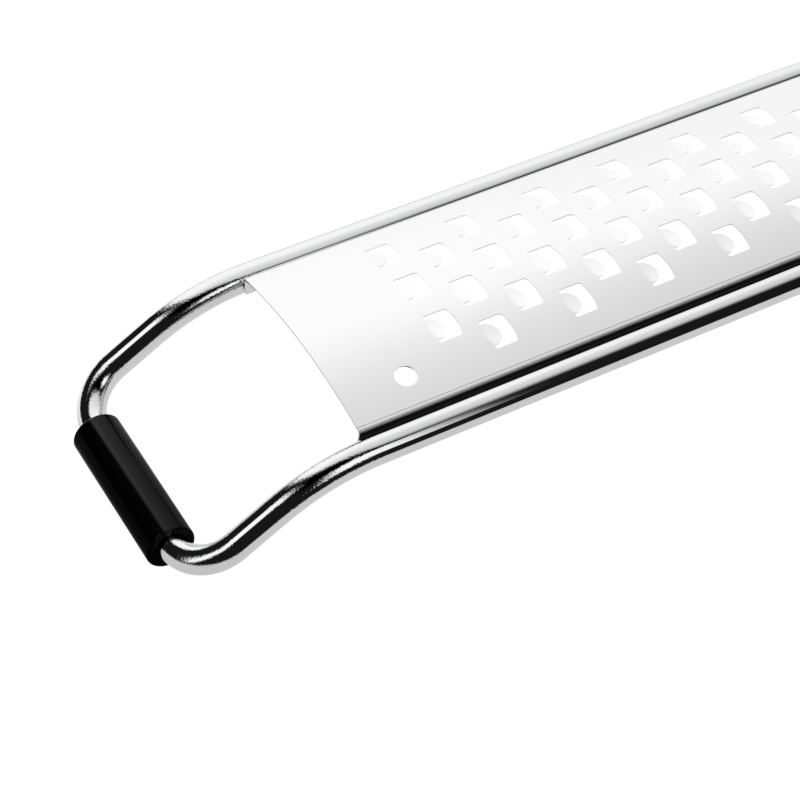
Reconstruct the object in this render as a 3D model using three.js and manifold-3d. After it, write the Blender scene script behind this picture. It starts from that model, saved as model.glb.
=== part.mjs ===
// Hand grater: a bent wire frame carries an arched grating plate between its rails,
// a soft sleeve on its nose bar and a handle on its two tails.
// Millimetres. The pieces are built with X running from the plate's nose end to the handle,
// Y across and Z up from the rail axis. The last section tips the grater onto its foot and grip.

import * as THREE from 'three';
import { mergeVertices } from 'three/addons/utils/BufferGeometryUtils.js';
import Module from 'manifold-3d';

const wasm = await Module();
wasm.setup();

const DEG = Math.PI / 180;

// Wire frame
const WIRE_D = 6.35;
const RAIL_SPACING = 56.7;
const NOSE_BEND_START = 2.4;
const NOSE_BEND_RADIUS = 44;
const NOSE_BEND_ANGLE = 31.2 * DEG;
const NOSE_LEG = 10.9;
const NOSE_CORNER_RADIUS = 11.1;
const TAIL_BEND_LEAD = 2;
const TAIL_BEND_RADIUS = 14;
const TAIL_BEND_ANGLE = 45 * DEG;
const TAIL_SPACING = 13;
const TAIL_IN_HANDLE = 62;

// Nose sleeve, which is the foot
const SLEEVE_D = 10.9;
const SLEEVE_LENGTH = 36;
const SLEEVE_DROP = 0.65;
const SLEEVE_RIM = 0.6;
const FOOT_FLAT_CUT = 0.45;

// Grating plate
const PLATE_LENGTH = 160;
const PLATE_THICKNESS = 0.4;
const PLATE_EDGE_HEIGHT = 3.5;
const PLATE_RISE = 3.3;
const PLATE_EDGE_RADIUS = 0.9;
const FLANGE_DEPTH = 3.5;
const FLANGE_LEAN = 8.7 * DEG;
const ROUND_HOLE_D = 5;
const ROUND_HOLE_X = 15.2;
const ROUND_HOLE_ACROSS = -17.5;

// Openings and their tongues
const ROWS = 6;
const HOLES_PER_ROW = 6;
const ROW_SPACING = 6.2;
const HOLE_PITCH = 19.9;
const FIRST_HOLE_X = 26;
const HOLE_WIDTH = 7.7;
const HOLE_LENGTH = 5.8;
const HOLE_BULGE = 0.3;
const HOLE_CORNER = 1;
const HOLE_ROOT_CORNER = 0.5;
const TONGUE_WIDTH = 5.8;
const TONGUE_LENGTH = 3.35;
const TONGUE_ROOT = 0.75;
const TONGUE_RADIUS = 13;

// Handle
const HANDLE_OVAL_RATIO = 1.4;
const COLLAR_LEAD = 2;
const COLLAR_LENGTH = 7.5;
const COLLAR_FRONT_R = 8;
const COLLAR_BACK_R = 9;
const COLLAR_ROUND = 1.2;
const CORE_R = 7.9;
const CORE_STUB_R = 5.2;
const CORE_STUB_LENGTH = 6.5;
const PIN_D = 2.5;
const PIN_LENGTH = 11.4;
const PIN_SETBACK = 46;
const GRIP_LENGTH = 68;
const GRIP_FRONT_R = 9.4;
const GRIP_SWELL_AT = 20.4;
const GRIP_SWELL_R = 11.1;
const GRIP_BELLY_AT = 39.4;
const GRIP_BELLY_R = 12;
const GRIP_BACK_R = 9.8;
const GRIP_ROUND = 0.8;
const CAP_LENGTH = 25;
const CAP_FRONT_R = 9.4;
const CAP_BACK_R = 8.6;
const CAP_ROUND = 4;
const HANG_HOLE_SETBACK = 11;
const EYELET_OUTER_D = 10;
const EYELET_BORE_D = 8.2;
const EYELET_LENGTH = 16.4;

// Fits
const FIT = 0.3;
const TONGUE_SINK = 0.08;
const END_GAP = 0.3;

// How the grater lies: its rails slope down to the handle
const REST_TILT = 2.4 * DEG;

// Facets
const WIRE_SIDES = 16;
const BORE_SIDES = 24;
const ROUND_SIDES = 32;
const ARCH_STEPS = 18;
const BEND_STEPS = 5;
const GRIP_STEPS = 15;
const HOLE_CURVE_STEPS = 4;
const TONGUE_STEPS = 2;
const CUT_MARGIN = 2;

// Sizes that follow from the ones above
const wireR = WIRE_D / 2;
const railY = RAIL_SPACING / 2;
const tailY = TAIL_SPACING / 2;
const halfSheet = PLATE_THICKNESS / 2;
const tailBendStart = PLATE_LENGTH + TAIL_BEND_LEAD;
const tailSway = 2 * TAIL_BEND_RADIUS * (1 - Math.cos(TAIL_BEND_ANGLE));
const tailSlant = (railY - tailY - tailSway) / Math.sin(TAIL_BEND_ANGLE);
const tailBends = 2 * TAIL_BEND_RADIUS * Math.sin(TAIL_BEND_ANGLE);
const tailStart = tailBendStart + tailBends + tailSlant * Math.cos(TAIL_BEND_ANGLE);
const collarX = tailStart + COLLAR_LEAD;
const coreX = collarX + COLLAR_LENGTH + END_GAP;
const tailEnd = coreX + TAIL_IN_HANDLE;
const capX = coreX + GRIP_LENGTH + END_GAP;
const hangHoleX = capX + CAP_LENGTH - HANG_HOLE_SETBACK;
const boreR = wireR + FIT;

// The nose bar's axis, worked out along the bends that lead to it
const noseReach = NOSE_LEG + NOSE_CORNER_RADIUS;
const noseBendX = NOSE_BEND_START - NOSE_BEND_RADIUS * Math.sin(NOSE_BEND_ANGLE);
const noseBendZ = -NOSE_BEND_RADIUS * (1 - Math.cos(NOSE_BEND_ANGLE));
const barX = noseBendX - noseReach * Math.cos(NOSE_BEND_ANGLE);
const barZ = noseBendZ - noseReach * Math.sin(NOSE_BEND_ANGLE);
const sleeveZ = barZ - SLEEVE_DROP;

// The plane that the grater lies on, at X = 0
const footDepth = SLEEVE_D / 2 - FOOT_FLAT_CUT;
const restZ = sleeveZ - barX * Math.tan(REST_TILT) - footDepth / Math.cos(REST_TILT);

// The plate's arch, tangent to the rounded edges that lead into its flanges
const flangeOffset = wireR + FIT + halfSheet;
const edgeMidR = PLATE_EDGE_RADIUS - halfSheet;
const edgeZ = PLATE_EDGE_HEIGHT - PLATE_EDGE_RADIUS;
const flangeTouchY = railY - flangeOffset * Math.cos(FLANGE_LEAN);
const flangeTouchZ = flangeOffset * Math.sin(FLANGE_LEAN);
const flangeAtEdgeY = flangeTouchY + (edgeZ - flangeTouchZ) * Math.tan(FLANGE_LEAN);
const edgeY = flangeAtEdgeY - edgeMidR / Math.cos(FLANGE_LEAN);
const crownZ = PLATE_EDGE_HEIGHT + PLATE_RISE - halfSheet;
const edgeBelowCrown = edgeZ - crownZ;
const archSquares = edgeMidR ** 2 - edgeBelowCrown ** 2 - edgeY ** 2;
const archR = archSquares / (2 * (edgeBelowCrown + edgeMidR));
const archZ = crownZ - archR;
const archAngle = Math.atan2(edgeY, edgeZ - archZ);

const polishedSteel = { color: 0xd9dbde, metalness: 1, roughness: 0.08 };
const satinSteel = { color: 0xe2e4e7, metalness: 1, roughness: 0.28 };
const footRubber = { color: 0x0d0d10, metalness: 0, roughness: 0.45 };
const gripRubber = { color: 0x141416, metalness: 0, roughness: 0.7 };
const hardPlastic = { color: 0x111113, metalness: 0, roughness: 0.4 };

function toSolid(geometry) {
  const bare = geometry.clone();
  bare.deleteAttribute('normal');
  bare.deleteAttribute('uv');
  const merged = mergeVertices(bare, 1e-4);
  const vertProperties = new Float32Array(merged.attributes.position.array);
  const triVerts = new Uint32Array(merged.index.array);
  return new wasm.Manifold(new wasm.Mesh({ numProp: 3, vertProperties, triVerts }));
}

function toGeometry(solid) {
  const mesh = solid.getMesh();
  const geometry = new THREE.BufferGeometry();
  geometry.setAttribute('position', new THREE.BufferAttribute(mesh.vertProperties, 3));
  geometry.setIndex(new THREE.BufferAttribute(mesh.triVerts, 1));
  geometry.computeVertexNormals();
  return geometry;
}

function piece(name, solid, finish) {
  const mesh = new THREE.Mesh(toGeometry(solid), new THREE.MeshStandardMaterial(finish));
  mesh.name = name;
  return mesh;
}

// A round bar between two values of X, beside the X axis by y
function barAlongX(radius, fromX, toX, y) {
  const bar = new THREE.CylinderGeometry(radius, radius, toX - fromX, BORE_SIDES);
  bar.rotateZ(90 * DEG);
  bar.translate((fromX + toX) / 2, y, 0);
  return toSolid(bar);
}

// A round bar standing upright, centred on the rail axis height
function barAlongZ(radius, length, x, y) {
  const bar = new THREE.CylinderGeometry(radius, radius, length, BORE_SIDES);
  bar.rotateX(90 * DEG);
  bar.translate(x, y, 0);
  return toSolid(bar);
}

// The hole for one tail pin, through a piece of the given height
function pinBore(height, side) {
  return barAlongZ(PIN_D / 2 + FIT, height + CUT_MARGIN, coreX + PIN_SETBACK, side * tailY);
}

// A turned handle piece: profile points are [height from the axis, X], widened to an oval
function ovalAlongX(profile) {
  const points = profile.map(([radius, x]) => new THREE.Vector2(radius, x));
  const turned = new THREE.LatheGeometry(points, ROUND_SIDES);
  turned.rotateZ(-90 * DEG);
  turned.scale(1, HANDLE_OVAL_RATIO, 1);
  return toSolid(turned);
}

// Points of a quarter round edge, from one side of a corner to the other
function roundEdge(radius, x, size, startAngle) {
  const arc = new THREE.EllipseCurve(x, radius, size, size, startAngle, startAngle - 90 * DEG, true);
  return arc.getPoints(BEND_STEPS).map((point) => [point.y, point.x]);
}

// Everything below the plane that the grater lies on
function belowRest() {
  const depth = SLEEVE_D;
  const slab = new THREE.BoxGeometry(2 * (capX + CAP_LENGTH), RAIL_SPACING, depth);
  slab.translate(0, 0, -depth / 2);
  slab.rotateY(-REST_TILT);
  slab.translate(0, 0, restZ);
  return toSolid(slab);
}

// A wire's centre line: straight runs of one step and round bends of several
class WireLine extends THREE.Curve {
  constructor(start, heading) {
    super();
    this.runs = [];
    this.tip = start.clone();
    this.heading = heading.clone();
  }

  straight(length) {
    const from = this.tip.clone();
    const along = this.heading.clone();
    const pointAt = (t) => from.clone().addScaledVector(along, length * t);
    this.runs.push({ pointAt, tangentAt: () => along.clone() });
    this.tip = pointAt(1);
    return this;
  }

  bend(radius, angle, axis, steps) {
    const along = this.heading.clone();
    const centre = this.tip.clone().addScaledVector(axis.clone().cross(along), radius);
    const arm = this.tip.clone().sub(centre);
    for (let step = 0; step < steps; step += 1) {
      const turn = (t) => (angle * (step + t)) / steps;
      const pointAt = (t) => arm.clone().applyAxisAngle(axis, turn(t)).add(centre);
      const tangentAt = (t) => along.clone().applyAxisAngle(axis, turn(t));
      this.runs.push({ pointAt, tangentAt });
    }
    this.tip = arm.clone().applyAxisAngle(axis, angle).add(centre);
    this.heading = along.clone().applyAxisAngle(axis, angle);
    return this;
  }

  locate(t) {
    const place = t * this.runs.length;
    const index = Math.min(Math.floor(place), this.runs.length - 1);
    return { run: this.runs[index], t: place - index };
  }

  getPoint(t) {
    const spot = this.locate(t);
    return spot.run.pointAt(spot.t);
  }

  getTangent(t) {
    const spot = this.locate(t);
    return spot.run.tangentAt(spot.t);
  }

  getUtoTmapping(u) {
    return u;
  }
}

// The frame's centre line, from one tail round the nose to the other
function frameLine() {
  const up = new THREE.Vector3(0, 0, 1);
  const down = new THREE.Vector3(0, 0, -1);
  const left = new THREE.Vector3(0, 1, 0);
  const right = new THREE.Vector3(0, -1, 0);
  const noseNormal = new THREE.Vector3(-Math.sin(NOSE_BEND_ANGLE), 0, Math.cos(NOSE_BEND_ANGLE));
  const railLength = tailBendStart - NOSE_BEND_START;
  const barLength = RAIL_SPACING - 2 * NOSE_CORNER_RADIUS;
  const start = new THREE.Vector3(tailEnd, tailY, 0);
  return new WireLine(start, new THREE.Vector3(-1, 0, 0))
    .straight(tailEnd - tailStart)
    .bend(TAIL_BEND_RADIUS, TAIL_BEND_ANGLE, down, BEND_STEPS)
    .straight(tailSlant)
    .bend(TAIL_BEND_RADIUS, TAIL_BEND_ANGLE, up, BEND_STEPS)
    .straight(railLength)
    .bend(NOSE_BEND_RADIUS, NOSE_BEND_ANGLE, right, BEND_STEPS)
    .straight(NOSE_LEG)
    .bend(NOSE_CORNER_RADIUS, 90 * DEG, noseNormal, 2 * BEND_STEPS)
    .straight(barLength)
    .bend(NOSE_CORNER_RADIUS, 90 * DEG, noseNormal, 2 * BEND_STEPS)
    .straight(NOSE_LEG)
    .bend(NOSE_BEND_RADIUS, NOSE_BEND_ANGLE, left, BEND_STEPS)
    .straight(railLength)
    .bend(TAIL_BEND_RADIUS, TAIL_BEND_ANGLE, up, BEND_STEPS)
    .straight(tailSlant)
    .bend(TAIL_BEND_RADIUS, TAIL_BEND_ANGLE, down, BEND_STEPS)
    .straight(tailEnd - tailStart);
}

// One wire for nose, rails and tails, drilled near its ends for the pins
function frameWire() {
  const section = new THREE.Shape();
  section.absarc(0, 0, wireR, 0, 360 * DEG);
  const line = frameLine();
  const wire = new THREE.ExtrudeGeometry(section, {
    steps: line.runs.length,
    curveSegments: WIRE_SIDES / 2,
    bevelEnabled: false,
    extrudePath: line,
  });
  let solid = toSolid(wire);
  for (const side of [1, -1]) {
    solid = solid.subtract(pinBore(WIRE_D, side));
  }
  return solid;
}

// A round sleeve hung a little low on the nose bar, with a flat underneath to stand on
function noseSleeve() {
  const half = SLEEVE_LENGTH / 2;
  const radius = SLEEVE_D / 2;
  const backRim = roundEdge(radius - SLEEVE_RIM, half - SLEEVE_RIM, SLEEVE_RIM, 90 * DEG);
  const frontRim = roundEdge(radius - SLEEVE_RIM, SLEEVE_RIM - half, SLEEVE_RIM, 180 * DEG);
  const profile = [[0, -half], ...frontRim, ...backRim, [0, half]];
  const points = profile.map(([r, y]) => new THREE.Vector2(r, y));
  const body = new THREE.LatheGeometry(points, ROUND_SIDES);
  body.translate(barX, 0, sleeveZ);
  const bore = new THREE.CylinderGeometry(boreR, boreR, SLEEVE_LENGTH + CUT_MARGIN, BORE_SIDES);
  bore.translate(barX, 0, barZ);
  return toSolid(body).subtract(toSolid(bore)).subtract(belowRest());
}

// One half of the plate's section, from the crown to the flange's lower edge
function halfSection(offset) {
  const points = [];
  for (let step = 0; step <= ARCH_STEPS / 2; step += 1) {
    const angle = (archAngle * step) / (ARCH_STEPS / 2);
    const radius = archR + offset;
    points.push([radius * Math.sin(angle), archZ + radius * Math.cos(angle)]);
  }
  const flangeAngle = 90 * DEG + FLANGE_LEAN;
  for (let step = 1; step <= BEND_STEPS; step += 1) {
    const angle = archAngle + ((flangeAngle - archAngle) * step) / BEND_STEPS;
    const radius = edgeMidR + offset;
    points.push([edgeY + radius * Math.sin(angle), edgeZ + radius * Math.cos(angle)]);
  }
  const [y, z] = points.at(-1);
  points.push([y - FLANGE_DEPTH * Math.sin(FLANGE_LEAN), z - FLANGE_DEPTH * Math.cos(FLANGE_LEAN)]);
  return points;
}

function fullSection(offset) {
  const right = halfSection(offset);
  const left = right.slice(1).map(([y, z]) => [-y, z]);
  return [...left.reverse(), ...right];
}

function sheetBlank() {
  const outline = [...fullSection(halfSheet), ...fullSection(-halfSheet).reverse()];
  const shape = new THREE.Shape(outline.map(([y, z]) => new THREE.Vector2(y, z)));
  const sheet = new THREE.ExtrudeGeometry(shape, { depth: PLATE_LENGTH, bevelEnabled: false });
  // The section is drawn across and up, so its length turns onto X
  const across = new THREE.Vector3(0, 1, 0);
  const up = new THREE.Vector3(0, 0, 1);
  const along = new THREE.Vector3(1, 0, 0);
  sheet.applyMatrix4(new THREE.Matrix4().makeBasis(across, up, along));
  return toSolid(sheet);
}

// Turns a piece drawn flat at the origin onto the arch, at a distance across from the crown
function onArch(geometry, x, across) {
  const radius = archR + halfSheet;
  const angle = across / radius;
  const placed = geometry.clone();
  placed.rotateX(-angle);
  placed.translate(x, radius * Math.sin(angle), archZ + radius * Math.cos(angle));
  return toSolid(placed);
}

// A punch for one opening: straight at the nose side, rounded corners and a bulged far edge
function holePunch() {
  const half = HOLE_WIDTH / 2;
  const flank = half - HOLE_CORNER;
  const rootFlank = half - HOLE_ROOT_CORNER;
  const shape = new THREE.Shape();
  shape.moveTo(HOLE_ROOT_CORNER, -half);
  shape.lineTo(HOLE_LENGTH - HOLE_CORNER, -half);
  shape.quadraticCurveTo(HOLE_LENGTH, -half, HOLE_LENGTH, -flank);
  shape.quadraticCurveTo(HOLE_LENGTH + 2 * HOLE_BULGE, 0, HOLE_LENGTH, flank);
  shape.quadraticCurveTo(HOLE_LENGTH, half, HOLE_LENGTH - HOLE_CORNER, half);
  shape.lineTo(HOLE_ROOT_CORNER, half);
  shape.quadraticCurveTo(0, half, 0, rootFlank);
  shape.lineTo(0, -rootFlank);
  shape.quadraticCurveTo(0, -half, HOLE_ROOT_CORNER, -half);
  const depth = 2 * CUT_MARGIN;
  const options = { depth, curveSegments: HOLE_CURVE_STEPS, bevelEnabled: false };
  const punch = new THREE.ExtrudeGeometry(shape, options);
  punch.translate(0, 0, -depth / 2);
  return punch;
}

// A tongue: a strip bent gently down from just behind the opening, with a rounded tip
function tongue() {
  const half = TONGUE_WIDTH / 2;
  const lower = TONGUE_RADIUS - PLATE_THICKNESS;
  const tipAngle = 90 * DEG - Math.asin((TONGUE_ROOT + TONGUE_LENGTH) / TONGUE_RADIUS);
  const strip = new THREE.Shape();
  strip.absarc(-TONGUE_ROOT, -TONGUE_RADIUS, lower, 90 * DEG, tipAngle, true);
  strip.absarc(-TONGUE_ROOT, -TONGUE_RADIUS, TONGUE_RADIUS, tipAngle, 90 * DEG, false);
  const stripOptions = { depth: TONGUE_WIDTH, curveSegments: TONGUE_STEPS, bevelEnabled: false };
  const bent = new THREE.ExtrudeGeometry(strip, stripOptions);
  bent.translate(0, 0, -half);
  bent.rotateX(90 * DEG);
  const plan = new THREE.Shape();
  plan.moveTo(-TONGUE_ROOT, -half);
  plan.absellipse(0, 0, TONGUE_LENGTH, half, -90 * DEG, 90 * DEG, false);
  plan.lineTo(-TONGUE_ROOT, half);
  const depth = 2 * CUT_MARGIN;
  const planOptions = { depth, curveSegments: HOLE_CURVE_STEPS, bevelEnabled: false };
  const trim = new THREE.ExtrudeGeometry(plan, planOptions);
  trim.translate(0, 0, -depth / 2);
  const sunk = toGeometry(toSolid(bent).intersect(toSolid(trim)));
  sunk.translate(0, 0, -TONGUE_SINK);
  return sunk;
}

// Rows of openings, every second row moved along by half a pitch
function holePlaces() {
  const places = [];
  for (let row = 0; row < ROWS; row += 1) {
    const across = ((ROWS - 1) / 2 - row) * ROW_SPACING;
    const stagger = (row % 2) * (HOLE_PITCH / 2);
    for (let column = 0; column < HOLES_PER_ROW; column += 1) {
      places.push({ x: FIRST_HOLE_X + stagger + column * HOLE_PITCH, across });
    }
  }
  return places;
}

function gratingPlate() {
  const punch = holePunch();
  const flap = tongue();
  const drill = new THREE.CylinderGeometry(ROUND_HOLE_D / 2, ROUND_HOLE_D / 2, 2 * CUT_MARGIN, BORE_SIDES);
  drill.rotateX(90 * DEG);
  let solid = sheetBlank().subtract(onArch(drill, ROUND_HOLE_X, ROUND_HOLE_ACROSS));
  for (const place of holePlaces()) {
    solid = solid.subtract(onArch(punch, place.x, place.across));
  }
  for (const place of holePlaces()) {
    solid = solid.add(onArch(flap, place.x, place.across));
  }
  return solid;
}

// The bores that the two wire tails run in
function tailBores(fromX, toX) {
  return barAlongX(boreR, fromX, toX, tailY).add(barAlongX(boreR, fromX, toX, -tailY));
}

function handleCollar() {
  const backX = collarX + COLLAR_LENGTH;
  const front = roundEdge(COLLAR_FRONT_R - COLLAR_ROUND, collarX + COLLAR_ROUND, COLLAR_ROUND, 180 * DEG);
  const body = ovalAlongX([[0, collarX], ...front, [COLLAR_BACK_R, backX], [0, backX]]);
  return body.subtract(tailBores(collarX - CUT_MARGIN, backX + CUT_MARGIN));
}

function handleCore() {
  const backX = coreX + GRIP_LENGTH;
  const stubX = backX + CORE_STUB_LENGTH;
  const body = ovalAlongX([
    [0, coreX],
    [CORE_R, coreX],
    [CORE_R, backX],
    [CORE_STUB_R, backX],
    [CORE_STUB_R, stubX],
    [0, stubX],
  ]);
  let solid = body.subtract(tailBores(coreX - CUT_MARGIN, tailEnd + END_GAP));
  for (const side of [1, -1]) {
    solid = solid.subtract(pinBore(2 * CORE_R, side));
  }
  return solid;
}

function handleGrip() {
  const backX = coreX + GRIP_LENGTH;
  const innerR = CORE_R + FIT;
  const belly = new THREE.SplineCurve([
    new THREE.Vector2(coreX + GRIP_ROUND, GRIP_FRONT_R),
    new THREE.Vector2(coreX + GRIP_SWELL_AT, GRIP_SWELL_R),
    new THREE.Vector2(coreX + GRIP_BELLY_AT, GRIP_BELLY_R),
    new THREE.Vector2(backX - GRIP_ROUND, GRIP_BACK_R),
  ]);
  const outer = belly.getPoints(GRIP_STEPS).map((point) => [point.y, point.x]);
  const profile = [
    [innerR, coreX],
    [GRIP_FRONT_R - GRIP_ROUND, coreX],
    ...outer,
    [GRIP_BACK_R - GRIP_ROUND, backX],
    [innerR, backX],
    [innerR, coreX],
  ];
  return ovalAlongX(profile).subtract(belowRest());
}

function handleEndCap() {
  const backX = capX + CAP_LENGTH;
  const end = roundEdge(CAP_BACK_R - CAP_ROUND, backX - CAP_ROUND, CAP_ROUND, 90 * DEG);
  const body = ovalAlongX([[0, capX], [CAP_FRONT_R, capX], ...end, [0, backX]]);
  const socketR = CORE_STUB_R + FIT;
  const socketEnd = capX + CORE_STUB_LENGTH;
  const socket = ovalAlongX([
    [0, capX - CUT_MARGIN],
    [socketR, capX - CUT_MARGIN],
    [socketR, socketEnd],
    [0, socketEnd],
  ]);
  const hole = barAlongZ(EYELET_OUTER_D / 2 + FIT, 2 * CAP_FRONT_R + CUT_MARGIN, hangHoleX, 0);
  return body.subtract(socket).subtract(hole);
}

function hangingEyelet() {
  const tube = barAlongZ(EYELET_OUTER_D / 2, EYELET_LENGTH, hangHoleX, 0);
  return tube.subtract(barAlongZ(EYELET_BORE_D / 2, EYELET_LENGTH + CUT_MARGIN, hangHoleX, 0));
}

function tailPin(side) {
  return barAlongZ(PIN_D / 2, PIN_LENGTH, coreX + PIN_SETBACK, side * tailY);
}

// The assembly, tipped so that the foot and the grip lie on Z = 0 with the origin below its middle
const lying = new THREE.Group();
lying.rotation.y = REST_TILT;
lying.add(
  piece('frame_wire', frameWire(), polishedSteel),
  piece('grating_plate', gratingPlate(), satinSteel),
  piece('nose_sleeve', noseSleeve(), footRubber),
  piece('handle_collar', handleCollar(), polishedSteel),
  piece('handle_core', handleCore(), hardPlastic),
  piece('tail_pin_left', tailPin(1), polishedSteel),
  piece('tail_pin_right', tailPin(-1), polishedSteel),
  piece('handle_grip', handleGrip(), gripRubber),
  piece('handle_end_cap', handleEndCap(), hardPlastic),
  piece('hanging_eyelet', hangingEyelet(), polishedSteel),
);
lying.updateMatrixWorld(true);
const reach = new THREE.Box3().setFromObject(lying, true);
lying.position.set(-(reach.min.x + reach.max.x) / 2, 0, -reach.min.z);

const grater = new THREE.Group();
grater.add(lying);
grater.updateMatrixWorld(true);

export default grater;
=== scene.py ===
"""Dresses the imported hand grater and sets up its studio.

The pieces are worked out in millimetres along the grater's rails: X runs from the plate's
nose end to the handle, Y across and Z up from the rail axis. Each mesh is then laid down
in the row frame, in metres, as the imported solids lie.
"""

from __future__ import annotations

import logging
import math
from dataclasses import dataclass, field
from enum import Enum
from typing import Any, Callable, Iterable, Mapping, Protocol, Sequence

import bpy
from mathutils import Matrix, Vector
from mathutils.geometry import delaunay_2d_cdt


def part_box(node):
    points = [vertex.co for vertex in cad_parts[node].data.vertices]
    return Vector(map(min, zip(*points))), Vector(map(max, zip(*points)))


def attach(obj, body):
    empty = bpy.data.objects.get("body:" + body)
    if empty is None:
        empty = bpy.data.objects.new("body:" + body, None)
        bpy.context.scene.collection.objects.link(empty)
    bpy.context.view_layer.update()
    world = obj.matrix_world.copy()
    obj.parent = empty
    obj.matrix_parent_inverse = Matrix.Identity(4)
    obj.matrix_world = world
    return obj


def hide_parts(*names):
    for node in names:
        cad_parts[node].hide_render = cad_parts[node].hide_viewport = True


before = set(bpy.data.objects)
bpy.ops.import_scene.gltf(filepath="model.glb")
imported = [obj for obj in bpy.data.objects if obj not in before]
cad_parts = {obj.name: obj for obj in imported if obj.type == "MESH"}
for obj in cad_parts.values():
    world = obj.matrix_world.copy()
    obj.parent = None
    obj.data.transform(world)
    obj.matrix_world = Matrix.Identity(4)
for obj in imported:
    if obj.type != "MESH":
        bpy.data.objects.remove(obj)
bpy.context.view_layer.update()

LOG = logging.getLogger("hand_grater")
MM = 0.001
TOUCH = 1e-4  # Millimetres within which two places count as one.
SNAP_DIGITS = 3  # Digits of a millimetre that are kept when points are compared.
CUTTER_REACH = 4  # How many times longer a bar is than the piece that it bores.
BODY = "root"

Color = tuple[float, float, float]
Plan = tuple[float, float]
Profile = Sequence[Plan]


class Axis(Enum):
    """The direction that a turned piece runs in, as the turn that takes it there from X."""

    ALONG = Matrix.Identity(4)
    ACROSS = Matrix.Rotation(math.radians(90), 4, "Z")
    UP = Matrix.Rotation(math.radians(-90), 4, "Y")


class Edge(Enum):
    """Which edge of a turned profile is rounded, as the angle where its round starts."""

    FRONT = math.radians(180)
    BACK = math.radians(90)


class NodeSketch:
    """A node tree being drawn, with short calls that add and join its nodes."""

    # Places of the Mix node's colours and of its result, whose names its other kinds share.
    MIX_COLORS = (6, 7)
    MIX_RESULT = 2

    def __init__(self, tree: bpy.types.NodeTree) -> None:
        """Keeps the tree that is drawn on."""
        self.tree = tree

    def add(
        self, kind: str, inputs: Mapping[str | int, Any] | None = None, **settings: Any
    ) -> bpy.types.Node:
        """Adds one node.

        Args:
            kind: Blender's name for the kind of node.
            inputs: A value, or a socket to join, for each input by name or place.
            settings: The node's own settings.

        Returns:
            The new node.
        """
        node = self.tree.nodes.new(kind)
        for name, value in settings.items():
            setattr(node, name, value)
        for key, value in (inputs or {}).items():
            if isinstance(value, bpy.types.NodeSocket):
                self.tree.links.new(value, node.inputs[key])
            else:
                node.inputs[key].default_value = value
        return node

    def math(self, operation: str, *values: Any) -> bpy.types.NodeSocket:
        """Returns the result of a sum on numbers or sockets."""
        return self.add("ShaderNodeMath", dict(enumerate(values)), operation=operation).outputs[0]

    def ramp(self, value: Any, low: float, high: float) -> bpy.types.NodeSocket:
        """Returns a smooth rise from 0 at low to 1 at high."""
        settings = {"Value": value, "From Min": low, "From Max": high}
        node = self.add("ShaderNodeMapRange", settings, interpolation_type="SMOOTHSTEP")
        return node.outputs["Result"]

    def span(self, value: Any, low: float, high: float) -> bpy.types.NodeSocket:
        """Returns a value from 0 to 1 spread out from low to high."""
        settings = {"Value": value, "To Min": low, "To Max": high}
        return self.add("ShaderNodeMapRange", settings).outputs["Result"]

    def noise(self, place: Any, scale: float, detail: float = 3) -> bpy.types.NodeSocket:
        """Returns noise from 0 to 1 at a place, with a scale in features per metre."""
        settings = {"Vector": place, "Scale": scale, "Detail": detail}
        return self.add("ShaderNodeTexNoise", settings).outputs[0]

    def tint(self, amount: Any, first: Any, second: Any) -> bpy.types.NodeSocket:
        """Returns a colour between two colours or sockets, by an amount from 0 to 1."""
        ends = {0: amount}
        for key, color in zip(self.MIX_COLORS, (first, second)):
            ends[key] = color if isinstance(color, bpy.types.NodeSocket) else (*color, 1)
        return self.add("ShaderNodeMix", ends, data_type="RGBA").outputs[self.MIX_RESULT]


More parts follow.
